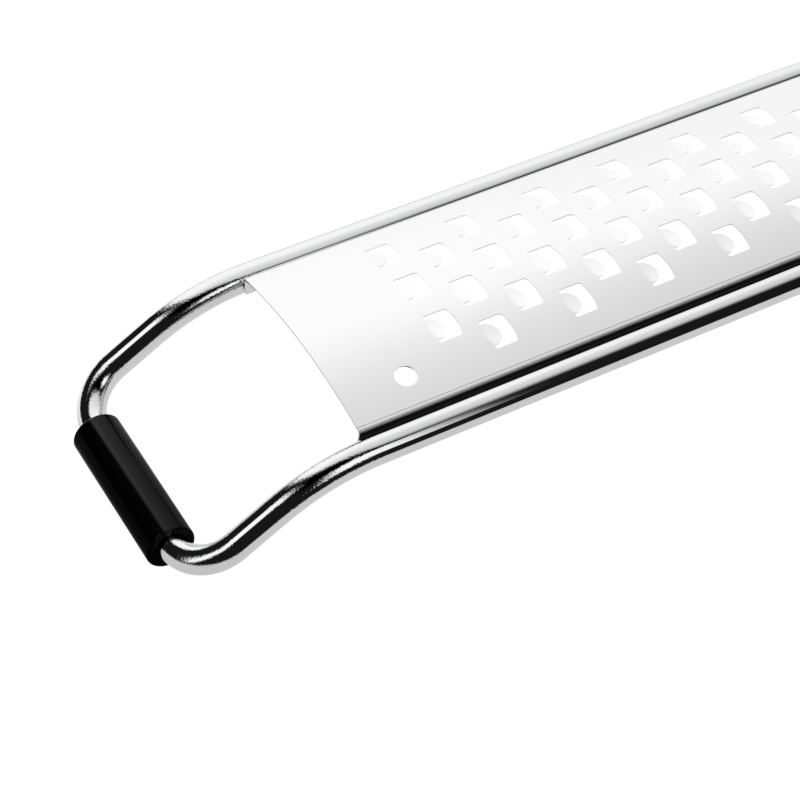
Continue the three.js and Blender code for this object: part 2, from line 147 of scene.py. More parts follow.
class ShapeTree:
    """A Geometry Nodes tree with named inputs, which makes one piece's mesh."""

    def __init__(self, name: str) -> None:
        """Starts a tree that takes and gives one geometry."""
        self.group = bpy.data.node_groups.new(name, "GeometryNodeTree")
        for side in ("INPUT", "OUTPUT"):
            self.group.interface.new_socket(
                "Geometry", in_out=side, socket_type="NodeSocketGeometry"
            )
        self.sketch = NodeSketch(self.group)
        self.identifiers: dict[str, str] = {}

    def input(self, name: str, kind: str = "Float") -> bpy.types.NodeSocket:
        """Adds a named input.

        Args:
            name: The input's plain name.
            kind: Float, Int, Object or Material.

        Returns:
            The socket that carries it inside the tree.
        """
        socket = self.group.interface.new_socket(
            name, in_out="INPUT", socket_type=f"NodeSocket{kind}"
        )
        self.identifiers[name] = socket.identifier
        return self.sketch.add("NodeGroupInput").outputs[name]

    def geometry(self) -> bpy.types.NodeSocket:
        """Returns the geometry that goes in."""
        return self.sketch.add("NodeGroupInput").outputs["Geometry"]

    def set_out(self, pitch: Any, spacing: Any, first: Any, height: float = 0) -> bpy.types.NodeSocket:
        """Sets out points in rows, every second row moved along by half a pitch.

        Args:
            pitch: The distance between two points of a row.
            spacing: The distance between two rows.
            first: Where the first row starts.
            height: How high the points lie.

        Returns:
            The points, as many as the new inputs Rows and Columns say.
        """
        sketch = self.sketch
        rows, columns = self.input("Rows", "Int"), self.input("Columns", "Int")
        index = sketch.add("GeometryNodeInputIndex").outputs[0]
        row = sketch.math("FLOOR", sketch.math("DIVIDE", sketch.math("ADD", index, 0.5), columns))
        column = sketch.math("SUBTRACT", index, sketch.math("MULTIPLY", row, columns))
        stagger = sketch.math("MULTIPLY", sketch.math("MODULO", row, 2.0), 0.5)
        along = sketch.math("MULTIPLY", sketch.math("ADD", column, stagger), pitch)
        middle = sketch.math("MULTIPLY", sketch.math("SUBTRACT", rows, 1.0), 0.5)
        across = sketch.math("MULTIPLY", sketch.math("SUBTRACT", middle, row), spacing)
        place = {"X": sketch.math("ADD", along, first), "Y": across, "Z": height}
        spot = sketch.add("ShaderNodeCombineXYZ", place).outputs[0]
        spread = {"Count": sketch.math("MULTIPLY", rows, columns), "Position": spot}
        return sketch.add("GeometryNodePoints", spread).outputs[0]

    def copies(self, shape: str, points: bpy.types.NodeSocket, **turn: Any) -> bpy.types.NodeSocket:
        """Puts a copy of a shape at each point.

        Args:
            shape: The name of a new input that gives the shape.
            points: Where the copies go.
            turn: Their Rotation, where they are turned.

        Returns:
            The copies.
        """
        info = {"Object": self.input(shape, "Object"), "As Instance": True}
        instance = self.sketch.add("GeometryNodeObjectInfo", info).outputs["Geometry"]
        spread = {"Points": points, "Instance": instance, **turn}
        return self.sketch.add("GeometryNodeInstanceOnPoints", spread).outputs[0]

    def joined(self, *parts: bpy.types.NodeSocket) -> bpy.types.NodeSocket:
        """Returns several geometries as one."""
        node = self.sketch.add("GeometryNodeJoinGeometry")
        for part in parts:
            self.group.links.new(part, node.inputs[0])
        return node.outputs[0]

    def close(self, geometry: bpy.types.NodeSocket) -> None:
        """Ends the tree in real geometry that carries the piece's finish."""
        finish = self.input("Finish", "Material")
        sketch = self.sketch
        smooth = sketch.add("GeometryNodeSetShadeSmooth", {"Geometry": geometry})
        real = sketch.add("GeometryNodeRealizeInstances", {"Geometry": smooth.outputs[0]})
        dressed = sketch.add(
            "GeometryNodeSetMaterial", {"Geometry": real.outputs[0], "Material": finish}
        )
        sketch.add("NodeGroupOutput", {"Geometry": dressed.outputs[0]})

    def mesh(self, source: bpy.types.Mesh, values: Mapping[str, Any]) -> bpy.types.Mesh:
        """Runs the tree on a mesh, which is used up.

        Args:
            source: The mesh that goes in.
            values: A value for each named input.

        Returns:
            The plain mesh that comes out.
        """
        carrier = add_object("carrier", source)
        modifier = carrier.modifiers.new("shape", "NODES")
        modifier.node_group = self.group
        for name, value in values.items():
            modifier[self.identifiers[name]] = value
        result = evaluated_mesh(carrier)
        carrier.modifiers.remove(modifier)
        discard(carrier)
        return result


class MaterialSketch(NodeSketch):
    """A material being drawn, with its surface shader and its place on the object."""

    def __init__(self, name: str) -> None:
        """Starts a plain material."""
        self.material = bpy.data.materials.new(name)
        self.material.use_nodes = True
        super().__init__(self.material.node_tree)
        self.shader = self.tree.nodes["Principled BSDF"]
        self.place = self.add("ShaderNodeTexCoord").outputs["Object"]

    def feed(self, name: str, source: bpy.types.NodeSocket) -> None:
        """Joins a socket to the named input of the shader."""
        self.tree.links.new(source, self.shader.inputs[name])

    def fix(self, **values: Any) -> None:
        """Sets inputs of the shader that are the same all over, named with underscores."""
        for name, value in values.items():
            self.shader.inputs[name.replace("_", " ")].default_value = value

    def stretched(self, scale: Sequence[float]) -> bpy.types.NodeSocket:
        """Returns the place on the object, stretched along its axes."""
        return self.add("ShaderNodeMapping", {"Vector": self.place, "Scale": scale}).outputs[0]

    def noted(self, name: str) -> bpy.types.NodeSocket:
        """Returns a number that the mesh notes under a name."""
        return self.add("ShaderNodeAttribute", attribute_name=name).outputs["Fac"]

    def clouded(self, scale: float, color: Color, shade: Color) -> bpy.types.NodeSocket:
        """Returns a colour that drifts to a shade of it in clouds, with a scale per metre."""
        return self.tint(self.noise(self.place, scale), color, shade)

    def show(self, shader: bpy.types.Node) -> None:
        """Puts another shader in the place of the surface shader."""
        output = self.tree.nodes["Material Output"]
        self.tree.links.new(shader.outputs[0], output.inputs["Surface"])

    def relief(self, height: Any, strength: Any, depth: float) -> None:
        """Adds fine relief.

        Args:
            height: The relief, from 0 to 1.
            strength: How strongly it shows.
            depth: Its depth in metres.
        """
        settings = {"Height": height, "Strength": strength, "Distance": depth}
        self.feed("Normal", self.add("ShaderNodeBump", settings).outputs[0])


class Finish(Protocol):
    """A surface that can be made into a material."""

    def make(self) -> bpy.types.Material:
        """Returns the finish as a new material."""


@dataclass(frozen=True)
class PolishedSteel:
    """Bright polished steel, a little rippled where it has been bent."""

    name: str
    color: Color = (0.69, 0.693, 0.698)
    shade: Color = (0.65, 0.653, 0.658)
    clouds: float = 60
    polish: Plan = (0.03, 0.07)
    polish_grain: float = 900
    ripple: float = 0.0
    ripple_full: float = 0.02
    ripple_grain: float = 2600
    ripple_depth: float = 0.0002

    def make(self) -> bpy.types.Material:
        """Returns the finish as a new material."""
        sketch = MaterialSketch(self.name)
        sketch.feed("Base Color", sketch.clouded(self.clouds, self.color, self.shade))
        sketch.feed("Roughness", sketch.span(sketch.noise(sketch.place, self.polish_grain), *self.polish))
        sketch.fix(Metallic=1)
        if self.ripple:
            bent = sketch.ramp(sketch.noted("bend"), 0, self.ripple_full)
            strength = sketch.math("MULTIPLY", bent, self.ripple)
            sketch.relief(sketch.noise(sketch.place, self.ripple_grain), strength, self.ripple_depth)
        return sketch.material


@dataclass(frozen=True)
class SatinSteel:
    """Rolled steel sheet with a satin face and a faint grain, dull where it is folded, with painted
    light: a shade line for a crease before the near edge, a highlight on that edge's fold, shade past it
    and down the near flange, a highlight on the tongues and on the walls of the openings, and shade on
    the walls at the plate's ends.
    """

    name: str
    color: Color = (0.73, 0.73, 0.734)
    shade: Color = (0.71, 0.71, 0.715)
    clouds: float = 45
    # Painted shade: a dark line just before the near edge's fold, where a slight crease would shade the
    # sheet.
    crease: Color = (0.5, 0.5, 0.51)
    # Painted highlight on the near edge's fold, flecked with a darker grey.
    fold: Color = (0.98, 0.98, 0.975)
    fleck: Color = (0.76, 0.76, 0.76)
    fleck_grain: float = 2200
    # Painted highlight on the tongues, stronger the further each is bent down.
    formed: Color = (0.757, 0.757, 0.76)
    # Painted highlight on the walls of the openings.
    cut: Color = (0.99, 0.99, 0.99)
    # Painted shade on the walls at the plate's ends.
    end: Color = (0.42, 0.42, 0.425)
    # Painted shade from just past the near edge's arch, round that edge and down the near flange.
    flange_shade: Color = (0.004, 0.004, 0.0045)
    satin: Plan = (0.11, 0.16)
    dull: float = 0.5
    # Where the painted crease shade comes in and goes out, in millimetres past the arch.
    crease_shade_rise: Plan = (-0.7, -0.5)
    crease_shade_fall: Plan = (-0.2, -0.4)
    fold_rise: Plan = (0.05, 0.25)
    # Where the painted shade over the near edge and flange comes in, in millimetres past the arch.
    flange_shade_rise: Plan = (0.15, 0.9)
    grain: Sequence[float] = (120, 2600, 2600)
    grain_strength: float = 0.03
    grain_depth: float = 0.00005

    def make(self) -> bpy.types.Material:
        """Returns the finish as a new material."""
        sketch = MaterialSketch(self.name)
        past, pressed, wall_mark = (sketch.noted(name) for name in ("fold", "formed", "cut"))
        rise, fall = sketch.ramp(past, *self.crease_shade_rise), sketch.ramp(past, *self.crease_shade_fall)
        folded = sketch.ramp(past, *self.fold_rise)
        # The painted highlight on the fold, in flecks.
        worn = sketch.clouded(self.fleck_grain, self.fold, self.fleck)
        face = sketch.clouded(self.clouds, self.color, self.shade)
        # Painted light, in turn: the crease's shade line, the tongues' highlight, the fold's highlight,
        # the opening walls' highlight, the end walls' shade, and last the shade over the near edge and
        # flange.
        face = sketch.tint(sketch.math("MULTIPLY", rise, fall), face, self.crease)
        face = sketch.tint(pressed, face, self.formed)
        face = sketch.tint(folded, face, worn)
        face = sketch.tint(wall_mark, face, self.cut)
        face = sketch.tint(sketch.ramp(wall_mark, 0, -1), face, self.end)
        sketch.feed("Base Color", sketch.tint(sketch.ramp(past, *self.flange_shade_rise), face, self.flange_shade))
        grain = sketch.noise(sketch.stretched(self.grain), 1)
        rough = sketch.span(grain, *self.satin)
        rough = sketch.add("ShaderNodeMix", {"Factor": folded, "A": rough, "B": self.dull}).outputs[0]
        sketch.feed("Roughness", rough)
        sketch.fix(Metallic=1)
        sketch.relief(grain, self.grain_strength, self.grain_depth)
        return sketch.material


@dataclass(frozen=True)
class SoftBlack:
    """Black rubber or moulded plastic with a fine texture, and a painted sheen where the mesh notes one.
    """

    name: str
    color: Color = (0.010, 0.010, 0.012)
    shade: Color = (0.016, 0.016, 0.019)
    clouds: float = 120
    gloss: Plan = (0.26, 0.34)
    specular: float = 0.35
    sheen_level: float = 0.0
    texture: float = 3500.0
    depth: float = 0.00004
    strength: float = 0.15

    def make(self) -> bpy.types.Material:
        """Returns the finish as a new material."""
        sketch = MaterialSketch(self.name)
        sketch.feed("Base Color", sketch.clouded(self.clouds, self.color, self.shade))
        fine = sketch.noise(sketch.place, self.texture)
        sketch.feed("Roughness", sketch.span(fine, *self.gloss))
        sketch.fix(Specular_IOR_Level=self.specular)
        # Painted sheen: the specular level rises to its sheen level along the band that the mesh notes.
        if self.sheen_level:
            shine = sketch.span(sketch.noted("worn"), self.specular, self.sheen_level)
            sketch.feed("Specular IOR Level", shine)
        sketch.relief(fine, self.strength, self.depth)
        return sketch.material


def add_object(name: str, mesh: bpy.types.Mesh) -> bpy.types.Object:
    """Returns a new object for a mesh, linked to the scene at the origin."""
    thing = bpy.data.objects.new(name, mesh)
    bpy.context.scene.collection.objects.link(thing)
    return thing


def discard(thing: bpy.types.Object) -> None:
    """Removes a helper object and its mesh."""
    mesh = thing.data
    bpy.data.objects.remove(thing)
    bpy.data.meshes.remove(mesh)


def evaluated_mesh(thing: bpy.types.Object) -> bpy.types.Mesh:
    """Returns a plain mesh of an object with its modifiers in it."""
    graph = bpy.context.evaluated_depsgraph_get()
    return bpy.data.meshes.new_from_object(thing.evaluated_get(graph))


def mesh_from(
    name: str, points: Iterable[Sequence[float]], faces: Iterable[Sequence[int]]
) -> bpy.types.Mesh:
    """Returns a new mesh made of points and faces."""
    mesh = bpy.data.meshes.new(name)
    mesh.from_pydata([tuple(point) for point in points], [], [tuple(face) for face in faces])
    mesh.update()
    return mesh


def line_points(start: Plan, end: Plan, steps: int) -> list[Plan]:
    """Returns points evenly along a straight line, without its start."""
    shares = [step / steps for step in range(1, steps + 1)]
    return [tuple(a + t * (b - a) for a, b in zip(start, end)) for t in shares]


def curve_points(start: Plan, pull: Plan, end: Plan, steps: int) -> list[Plan]:
    """Points of a curve that is pulled towards one point.

    Args:
        start: Where the curve starts.
        pull: The point that it is pulled towards.
        end: Where the curve ends.
        steps: How many points it gets.

    Returns:
        The points after the start, to the end.
    """
    points = []
    for step in range(1, steps + 1):
        t = step / steps
        shares = ((1 - t) ** 2, 2 * t * (1 - t), t**2)
        points.append(tuple(sum(s * p for s, p in zip(shares, ends)) for ends in zip(start, pull, end)))
    return points


def spline_points(knots: Sequence[Plan], steps: int) -> list[Plan]:
    """Points of a smooth line through a few knots.

    Args:
        knots: The points that it runs through.
        steps: Steps between two knots.

    Returns:
        Points from the first knot to the last.
    """
    points = [knots[0]]
    for index in range(len(knots) - 1):
        around = [knots[min(max(index + shift, 0), len(knots) - 1)] for shift in (-1, 0, 1, 2)]
        for step in range(1, steps + 1):
            t = step / steps
            spot = []
            for a, b, c, d in zip(*around):
                leave, arrive = (c - a) / 2, (d - b) / 2
                cubic = 2 * b - 2 * c + leave + arrive
                square = -3 * b + 3 * c - 2 * leave - arrive
                spot.append(((cubic * t + square) * t + leave) * t + b)
            points.append(tuple(spot))
    return points


def edge_round(radius: float, x: float, size: float, edge: Edge, steps: int = 8) -> list[Plan]:
    """Points of a quarter round on a turned profile.

    Args:
        radius: Height of the round's centre from the axis.
        x: Place of the round's centre along the axis.
        size: The round's own radius.
        edge: Which edge of the profile it rounds.
        steps: How many steps it has.

    Returns:
        Points of height and place, front to back.
    """
    angles = [edge.value - math.pi / 2 * step / steps for step in range(steps + 1)]
    return [(radius + size * math.sin(a), x + size * math.cos(a)) for a in angles]


def is_inside(point: Plan, outline: Sequence[Plan]) -> bool:
    """Tells whether a point lies inside a closed outline."""
    x, y = point
    odd = False
    for (ax, ay), (bx, by) in zip(outline, (*outline[1:], outline[0])):
        if (ay > y) != (by > y) and x < ax + (y - ay) * (bx - ax) / (by - ay):
            odd = not odd
    return odd


def snapped(x: float, y: float) -> Plan:
    """Returns a point rounded off, to be compared with others."""
    return round(x, SNAP_DIGITS), round(y, SNAP_DIGITS)


def turned_mesh(
    name: str, profile: Profile, oval: float = 1, sides: int = 96, axis: Axis = Axis.ALONG
) -> bpy.types.Mesh:
    """A piece turned about an axis.

    Args:
        name: The mesh's name.
        profile: Points of height from the axis and place along it, front to back on the outside.
            A profile that ends where it starts makes a tube.
        oval: How many times wider than high the piece is.
        sides: Steps round the axis.
        axis: The direction of the axis.

    Returns:
        A closed mesh.
    """
    ring = [2 * math.pi * side / sides for side in range(sides)]
    is_tube = profile[0] == profile[-1]
    points: list[Sequence[float]] = []
    rows: list[tuple[int, int]] = []
    for radius, x in profile[:-1] if is_tube else profile:
        spots = ring if radius > TOUCH else ring[:1]
        rows.append((len(points), len(spots)))
        points += [(x, oval * radius * math.sin(a), radius * math.cos(a)) for a in spots]
    faces = []
    for (front, fronts), (back, backs) in zip(rows, rows[1:] + (rows[:1] if is_tube else [])):
        for side in range(sides):
            after = (side + 1) % sides
            face = (
                front + side % fronts,
                back + side % backs,
                back + after % backs,
                front + after % fronts,
            )
            faces.append(list(dict.fromkeys(face)))
    mesh = mesh_from(name, points, faces)
    mesh.transform(axis.value)
    return mesh


def bar_mesh(
    radius: float, length: float, centre: Sequence[float], axis: Axis, sides: int = 64
) -> bpy.types.Mesh:
    """A round bar that cuts a bore.

    Args:
        radius: The bar's radius.
        length: The bar's length.
        centre: The bar's middle.
        axis: The direction that it runs in.
        sides: Steps round it.

    Returns:
        A closed mesh.
    """
    half = length / 2
    profile = [(0, -half), (radius, -half), (radius, half), (0, half)]
    mesh = turned_mesh("bar", profile, sides=sides, axis=axis)
    mesh.transform(Matrix.Translation(centre))
    return mesh


def carved(mesh: bpy.types.Mesh, cutters: Iterable[bpy.types.Mesh]) -> bpy.types.Mesh:
    """Returns a mesh with other meshes cut out of it; all of them are used up."""
    body = add_object("carved", mesh)
    tools = [add_object("cutter", cutter) for cutter in cutters]
    for tool in tools:
        cut = body.modifiers.new("cut", "BOOLEAN")
        cut.operation = "DIFFERENCE"
        cut.solver = "EXACT"
        cut.object = tool
    result = evaluated_mesh(body)
    for thing in (body, *tools):
        discard(thing)
    return result


@dataclass(frozen=True)
class Rest:
    """How the grater lies on its foot and its grip."""

    tilt: float = math.radians(2.4)
    bar_x: float = -39.211
    sleeve_z: float = -18.411
    foot_depth: float = 5

    def matrix(self) -> Matrix:
        """Returns the move from millimetres along the rails to metres in the row frame."""
        turn = Matrix.Rotation(self.tilt, 4, "Y")
        low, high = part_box("nose_sleeve")
        axis = turn @ Vector((self.bar_x, 0, self.sleeve_z))
        shift = Vector(((low[0] + high[0]) / 2 / MM - axis.x, 0, self.foot_depth - axis.z))
        return Matrix.Scale(MM, 4) @ Matrix.Translation(shift) @ turn

    def lay(self, mesh: bpy.types.Mesh) -> None:
        """Lays a mesh down, flattened where it would go below the table."""
        mesh.transform(self.matrix())
        for vertex in mesh.vertices:
            vertex.co.z = max(vertex.co.z, 0)
        mesh.update()


REST = Rest()


def dress(node: str, mesh: bpy.types.Mesh) -> bpy.types.Object:
    """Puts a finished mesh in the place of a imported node.

    Args:
        node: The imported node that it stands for.
        mesh: The mesh, laid down and with its material.

    Returns:
        The new piece.
    """
    thing = add_object(f"dressed_{node}", mesh)
    mesh.name = thing.name
    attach(thing, BODY)
    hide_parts(node)
    LOG.info("%s: %d faces", thing.name, len(mesh.polygons))
    return thing


def settle(node: str, mesh: bpy.types.Mesh, sharp: float = 35) -> bpy.types.Object:
    """Lays a mesh down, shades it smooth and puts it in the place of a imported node.

    Args:
        node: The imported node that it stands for.
        mesh: The mesh, in millimetres along the rails and with its material.
        sharp: The angle in degrees from which an edge stays sharp.

    Returns:
        The new piece.
    """
    REST.lay(mesh)
    mesh.shade_smooth()
    mesh.set_sharp_from_angle(angle=math.radians(sharp))
    return dress(node, mesh)


def finish_node(node: str, finish: Finish) -> None:
    """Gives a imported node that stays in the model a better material."""
    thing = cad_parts[node]
    material = finish.make()
    for place in thing.material_slots:
        place.material = material
    LOG.info("%s: kept, in %s", node, material.name)


@dataclass
class WirePath:
    """A wire's centre line, drawn run by run, and how tightly it bends at each point."""

    tip: Vector
    heading: Vector
    step: float = 2.0
    turn: float = math.radians(2.5)
    points: list[Vector] = field(default_factory=list)
    bends: list[float] = field(default_factory=list)

    def straight(self, length: float) -> WirePath:
        """Draws a straight run."""
        count = math.ceil(length / self.step)
        start = self.tip.copy()
        for index in range(count):
            self.points.append(start + self.heading * (length * index / count))
            self.bends.append(0)
        self.tip = start + self.heading * length
        return self

    def bend(self, radius: float, angle: float, axis: Vector) -> WirePath:
        """Draws a round bend.

        Args:
            radius: The bend's radius at the centre line.
            angle: How far it turns.
            axis: What it turns about.

        Returns:
            The path itself.
        """
        centre = self.tip + axis.cross(self.heading) * radius
        arm = self.tip - centre
        count = math.ceil(angle / self.turn)
        for index in range(count):
            self.points.append(centre + Matrix.Rotation(angle * index / count, 3, axis) @ arm)
            self.bends.append(1 / radius)
        turn = Matrix.Rotation(angle, 3, axis)
        self.tip = centre + turn @ arm
        self.heading = turn @ self.heading
        return self

    def mesh(self, name: str, spread: int = 1) -> bpy.types.Mesh:
        """Returns the line as a mesh, with its bends evened out along it."""
        self.points.append(self.tip)
        self.bends.append(0)
        mesh = bpy.data.meshes.new(name)
        links = [(index, index + 1) for index in range(len(self.points) - 1)]
        mesh.from_pydata([tuple(point) for point in self.points], links, [])
        bend = mesh.attributes.new("bend", "FLOAT", "POINT")
        for index in range(len(self.points)):
            near = self.bends[max(index - spread, 0) : index + spread + 1]
            bend.data[index].value = sum(near) / len(near)
        return mesh


@dataclass
class WireFrame:
    """The round wire that makes the nose, the two rails and the two tails."""

    wire_d: float = 6.35
    rail_spacing: float = 56.7
    nose_bend_start: float = 2.4
    nose_bend_radius: float = 44
    nose_bend_angle: float = math.radians(31.2)
    nose_leg: float = 10.9
    nose_corner_radius: float = 11.1
    tail_bend_start: float = 162
    tail_bend_radius: float = 14
    tail_bend_angle: float = math.radians(45)
    tail_spacing: float = 13
    tail_length: float = 71.8
    handle_setback: float = 2
    sides: int = 48
    sharp: float = 60
    finish: Finish = PolishedSteel("polished_wire", ripple=0.17)

    @property
    def tail_y(self) -> float:
        """How far a tail lies from the middle."""
        return self.tail_spacing / 2

    @property
    def tail_slant(self) -> float:
        """Length of the straight run between a tail's two bends."""
        sway = 2 * self.tail_bend_radius * (1 - math.cos(self.tail_bend_angle))
        return ((self.rail_spacing - self.tail_spacing) / 2 - sway) / math.sin(self.tail_bend_angle)

    @property
    def tail_start(self) -> float:
        """Where the tails run straight towards the handle."""
        bends = 2 * self.tail_bend_radius * math.sin(self.tail_bend_angle)
        return self.tail_bend_start + bends + self.tail_slant * math.cos(self.tail_bend_angle)

    @property
    def handle_start(self) -> float:
        """Where the handle's collar starts."""
        return self.tail_start + self.handle_setback

    def path(self) -> WirePath:
        """Returns the centre line from one tail round the nose to the other."""
        up, left = Vector((0, 0, 1)), Vector((0, 1, 0))
        nose = Vector((-math.sin(self.nose_bend_angle), 0, math.cos(self.nose_bend_angle)))
        quarter = math.radians(90)
        rail = self.tail_bend_start - self.nose_bend_start
        bar = self.rail_spacing - 2 * self.nose_corner_radius
        start = Vector((self.tail_start + self.tail_length, self.tail_y, 0))
        half = [
            (self.tail_length, self.tail_bend_radius, self.tail_bend_angle, -up),
            (self.tail_slant, self.tail_bend_radius, self.tail_bend_angle, up),
            (rail, self.nose_bend_radius, self.nose_bend_angle, -left),
            (self.nose_leg, self.nose_corner_radius, quarter, nose),
        ]
        path = WirePath(start, Vector((-1, 0, 0)))
        for length, radius, angle, axis in half:
            path.straight(length).bend(radius, angle, axis)
        path.straight(bar)
        for length, radius, angle, axis in reversed(half):
            path.bend(radius, angle, Vector((axis.x, -axis.y, axis.z))).straight(length)
        return path

    def tree(self) -> ShapeTree:
        """Returns the tree that runs a round section along a line."""
        tree = ShapeTree("wire_along_line")
        sketch = tree.sketch
        size = {"Resolution": tree.input("Sides", "Int"), "Radius": tree.input("Wire Radius")}
        section = sketch.add("GeometryNodeCurvePrimitiveCircle", size)
        line = sketch.add("GeometryNodeMeshToCurve", {"Mesh": tree.geometry()})
        run = {"Curve": line.outputs[0], "Profile Curve": section.outputs[0], "Fill Caps": True}
        tree.close(sketch.add("GeometryNodeCurveToMesh", run).outputs[0])
        return tree

    def build(self) -> bpy.types.Object:
        """Builds and dresses the wire."""
        values = {"Sides": self.sides, "Wire Radius": self.wire_d / 2, "Finish": self.finish.make()}
        mesh = self.tree().mesh(self.path().mesh("wire_line"), values)
        return settle("frame_wire", mesh, self.sharp)


@dataclass(frozen=True)
class SheetSpot:
    """A point of a sheet: the middle of its thickness, and the way that its upper face looks."""

    middle: Vector
    facing: Vector = field(default_factory=lambda: Vector((0, 0, 1)))
    # How far the tongue is bent down here, which sets its painted highlight.
    formed: float = 0

    def face(self, offset: float) -> Vector:
        """Returns the point of the sheet's face at an offset from the middle."""
        return self.middle + offset * self.facing


@dataclass
class FlatSheet:
    """A sheet with openings, drawn in the flat and then given its thickness."""

    # The triangulation's choice to fill the drawing's whole hull.
    HULL = 0

    half: float
    points: list[Plan] = field(default_factory=list)
    edges: list[tuple[int, int]] = field(default_factory=list)

    def loop(self, outline: Sequence[Plan]) -> None:
        """Draws a closed outline."""
        first = len(self.points)
        self.points += outline
        count = len(outline)
        self.edges += [(first + index, first + (index + 1) % count) for index in range(count)]

    def mesh(
        self,
        name: str,
        keep: Callable[[Plan], bool],
        spot: Callable[[Plan], SheetSpot],
        is_seam: Callable[[Plan], bool],
    ) -> bpy.types.Mesh:
        """Fills the drawing and gives it its thickness.

        Args:
            name: The mesh's name.
            keep: Tells whether there is sheet at a point.
            spot: Gives the place of a point of the drawing.
            is_seam: Tells whether an edge's middle lies on a seam, which gets no wall.

        Returns:
            The sheet, open along its seams, with its facing and how far it was bent down at each
            point, which sets a painted highlight on the tongues, and with its cut walls marked.
        """
        flat, _, faces, *_ = delaunay_2d_cdt(
            [Vector(point) for point in self.points], self.edges, [], self.HULL, TOUCH
        )
        kept = []
        for face in faces:
            corners = [flat[index] for index in face]
            if keep(tuple(sum(corners, Vector((0, 0))) / 3)):
                turned = (corners[1] - corners[0]).cross(corners[2] - corners[0]) < 0
                kept.append(list(reversed(face)) if turned else list(face))
        used = sorted({index for face in kept for index in face})
        place = {old: new for new, old in enumerate(used)}
        spots = [spot(tuple(flat[index])) for index in used]
        count = len(used)
        top = [[place[index] for index in face] for face in kept]
        shell = top + [[index + count for index in reversed(face)] for face in top]
        sides = {(a, b) for face in top for a, b in zip(face, face[1:] + face[:1])}
        walls = []
        for a, b in sorted(sides):
            if (b, a) not in sides and not is_seam(tuple((flat[used[a]] + flat[used[b]]) / 2)):
                walls.append([b, a, a + count, b + count])
        points = [s.face(self.half) for s in spots] + [s.face(-self.half) for s in spots]
        mesh = mesh_from(name, points, shell + walls)
        cut = mesh.attributes.new("cut", "FLOAT", "FACE")
        cut.data.foreach_set("value", [0] * len(shell) + [1] * len(walls))
        facing = mesh.attributes.new("facing", "FLOAT_VECTOR", "POINT")
        facing.data.foreach_set("vector", [value for s in spots for value in s.facing] * 2)
        formed = mesh.attributes.new("formed", "FLOAT", "POINT")
        formed.data.foreach_set("value", [s.formed for s in spots] * 2)
        return mesh


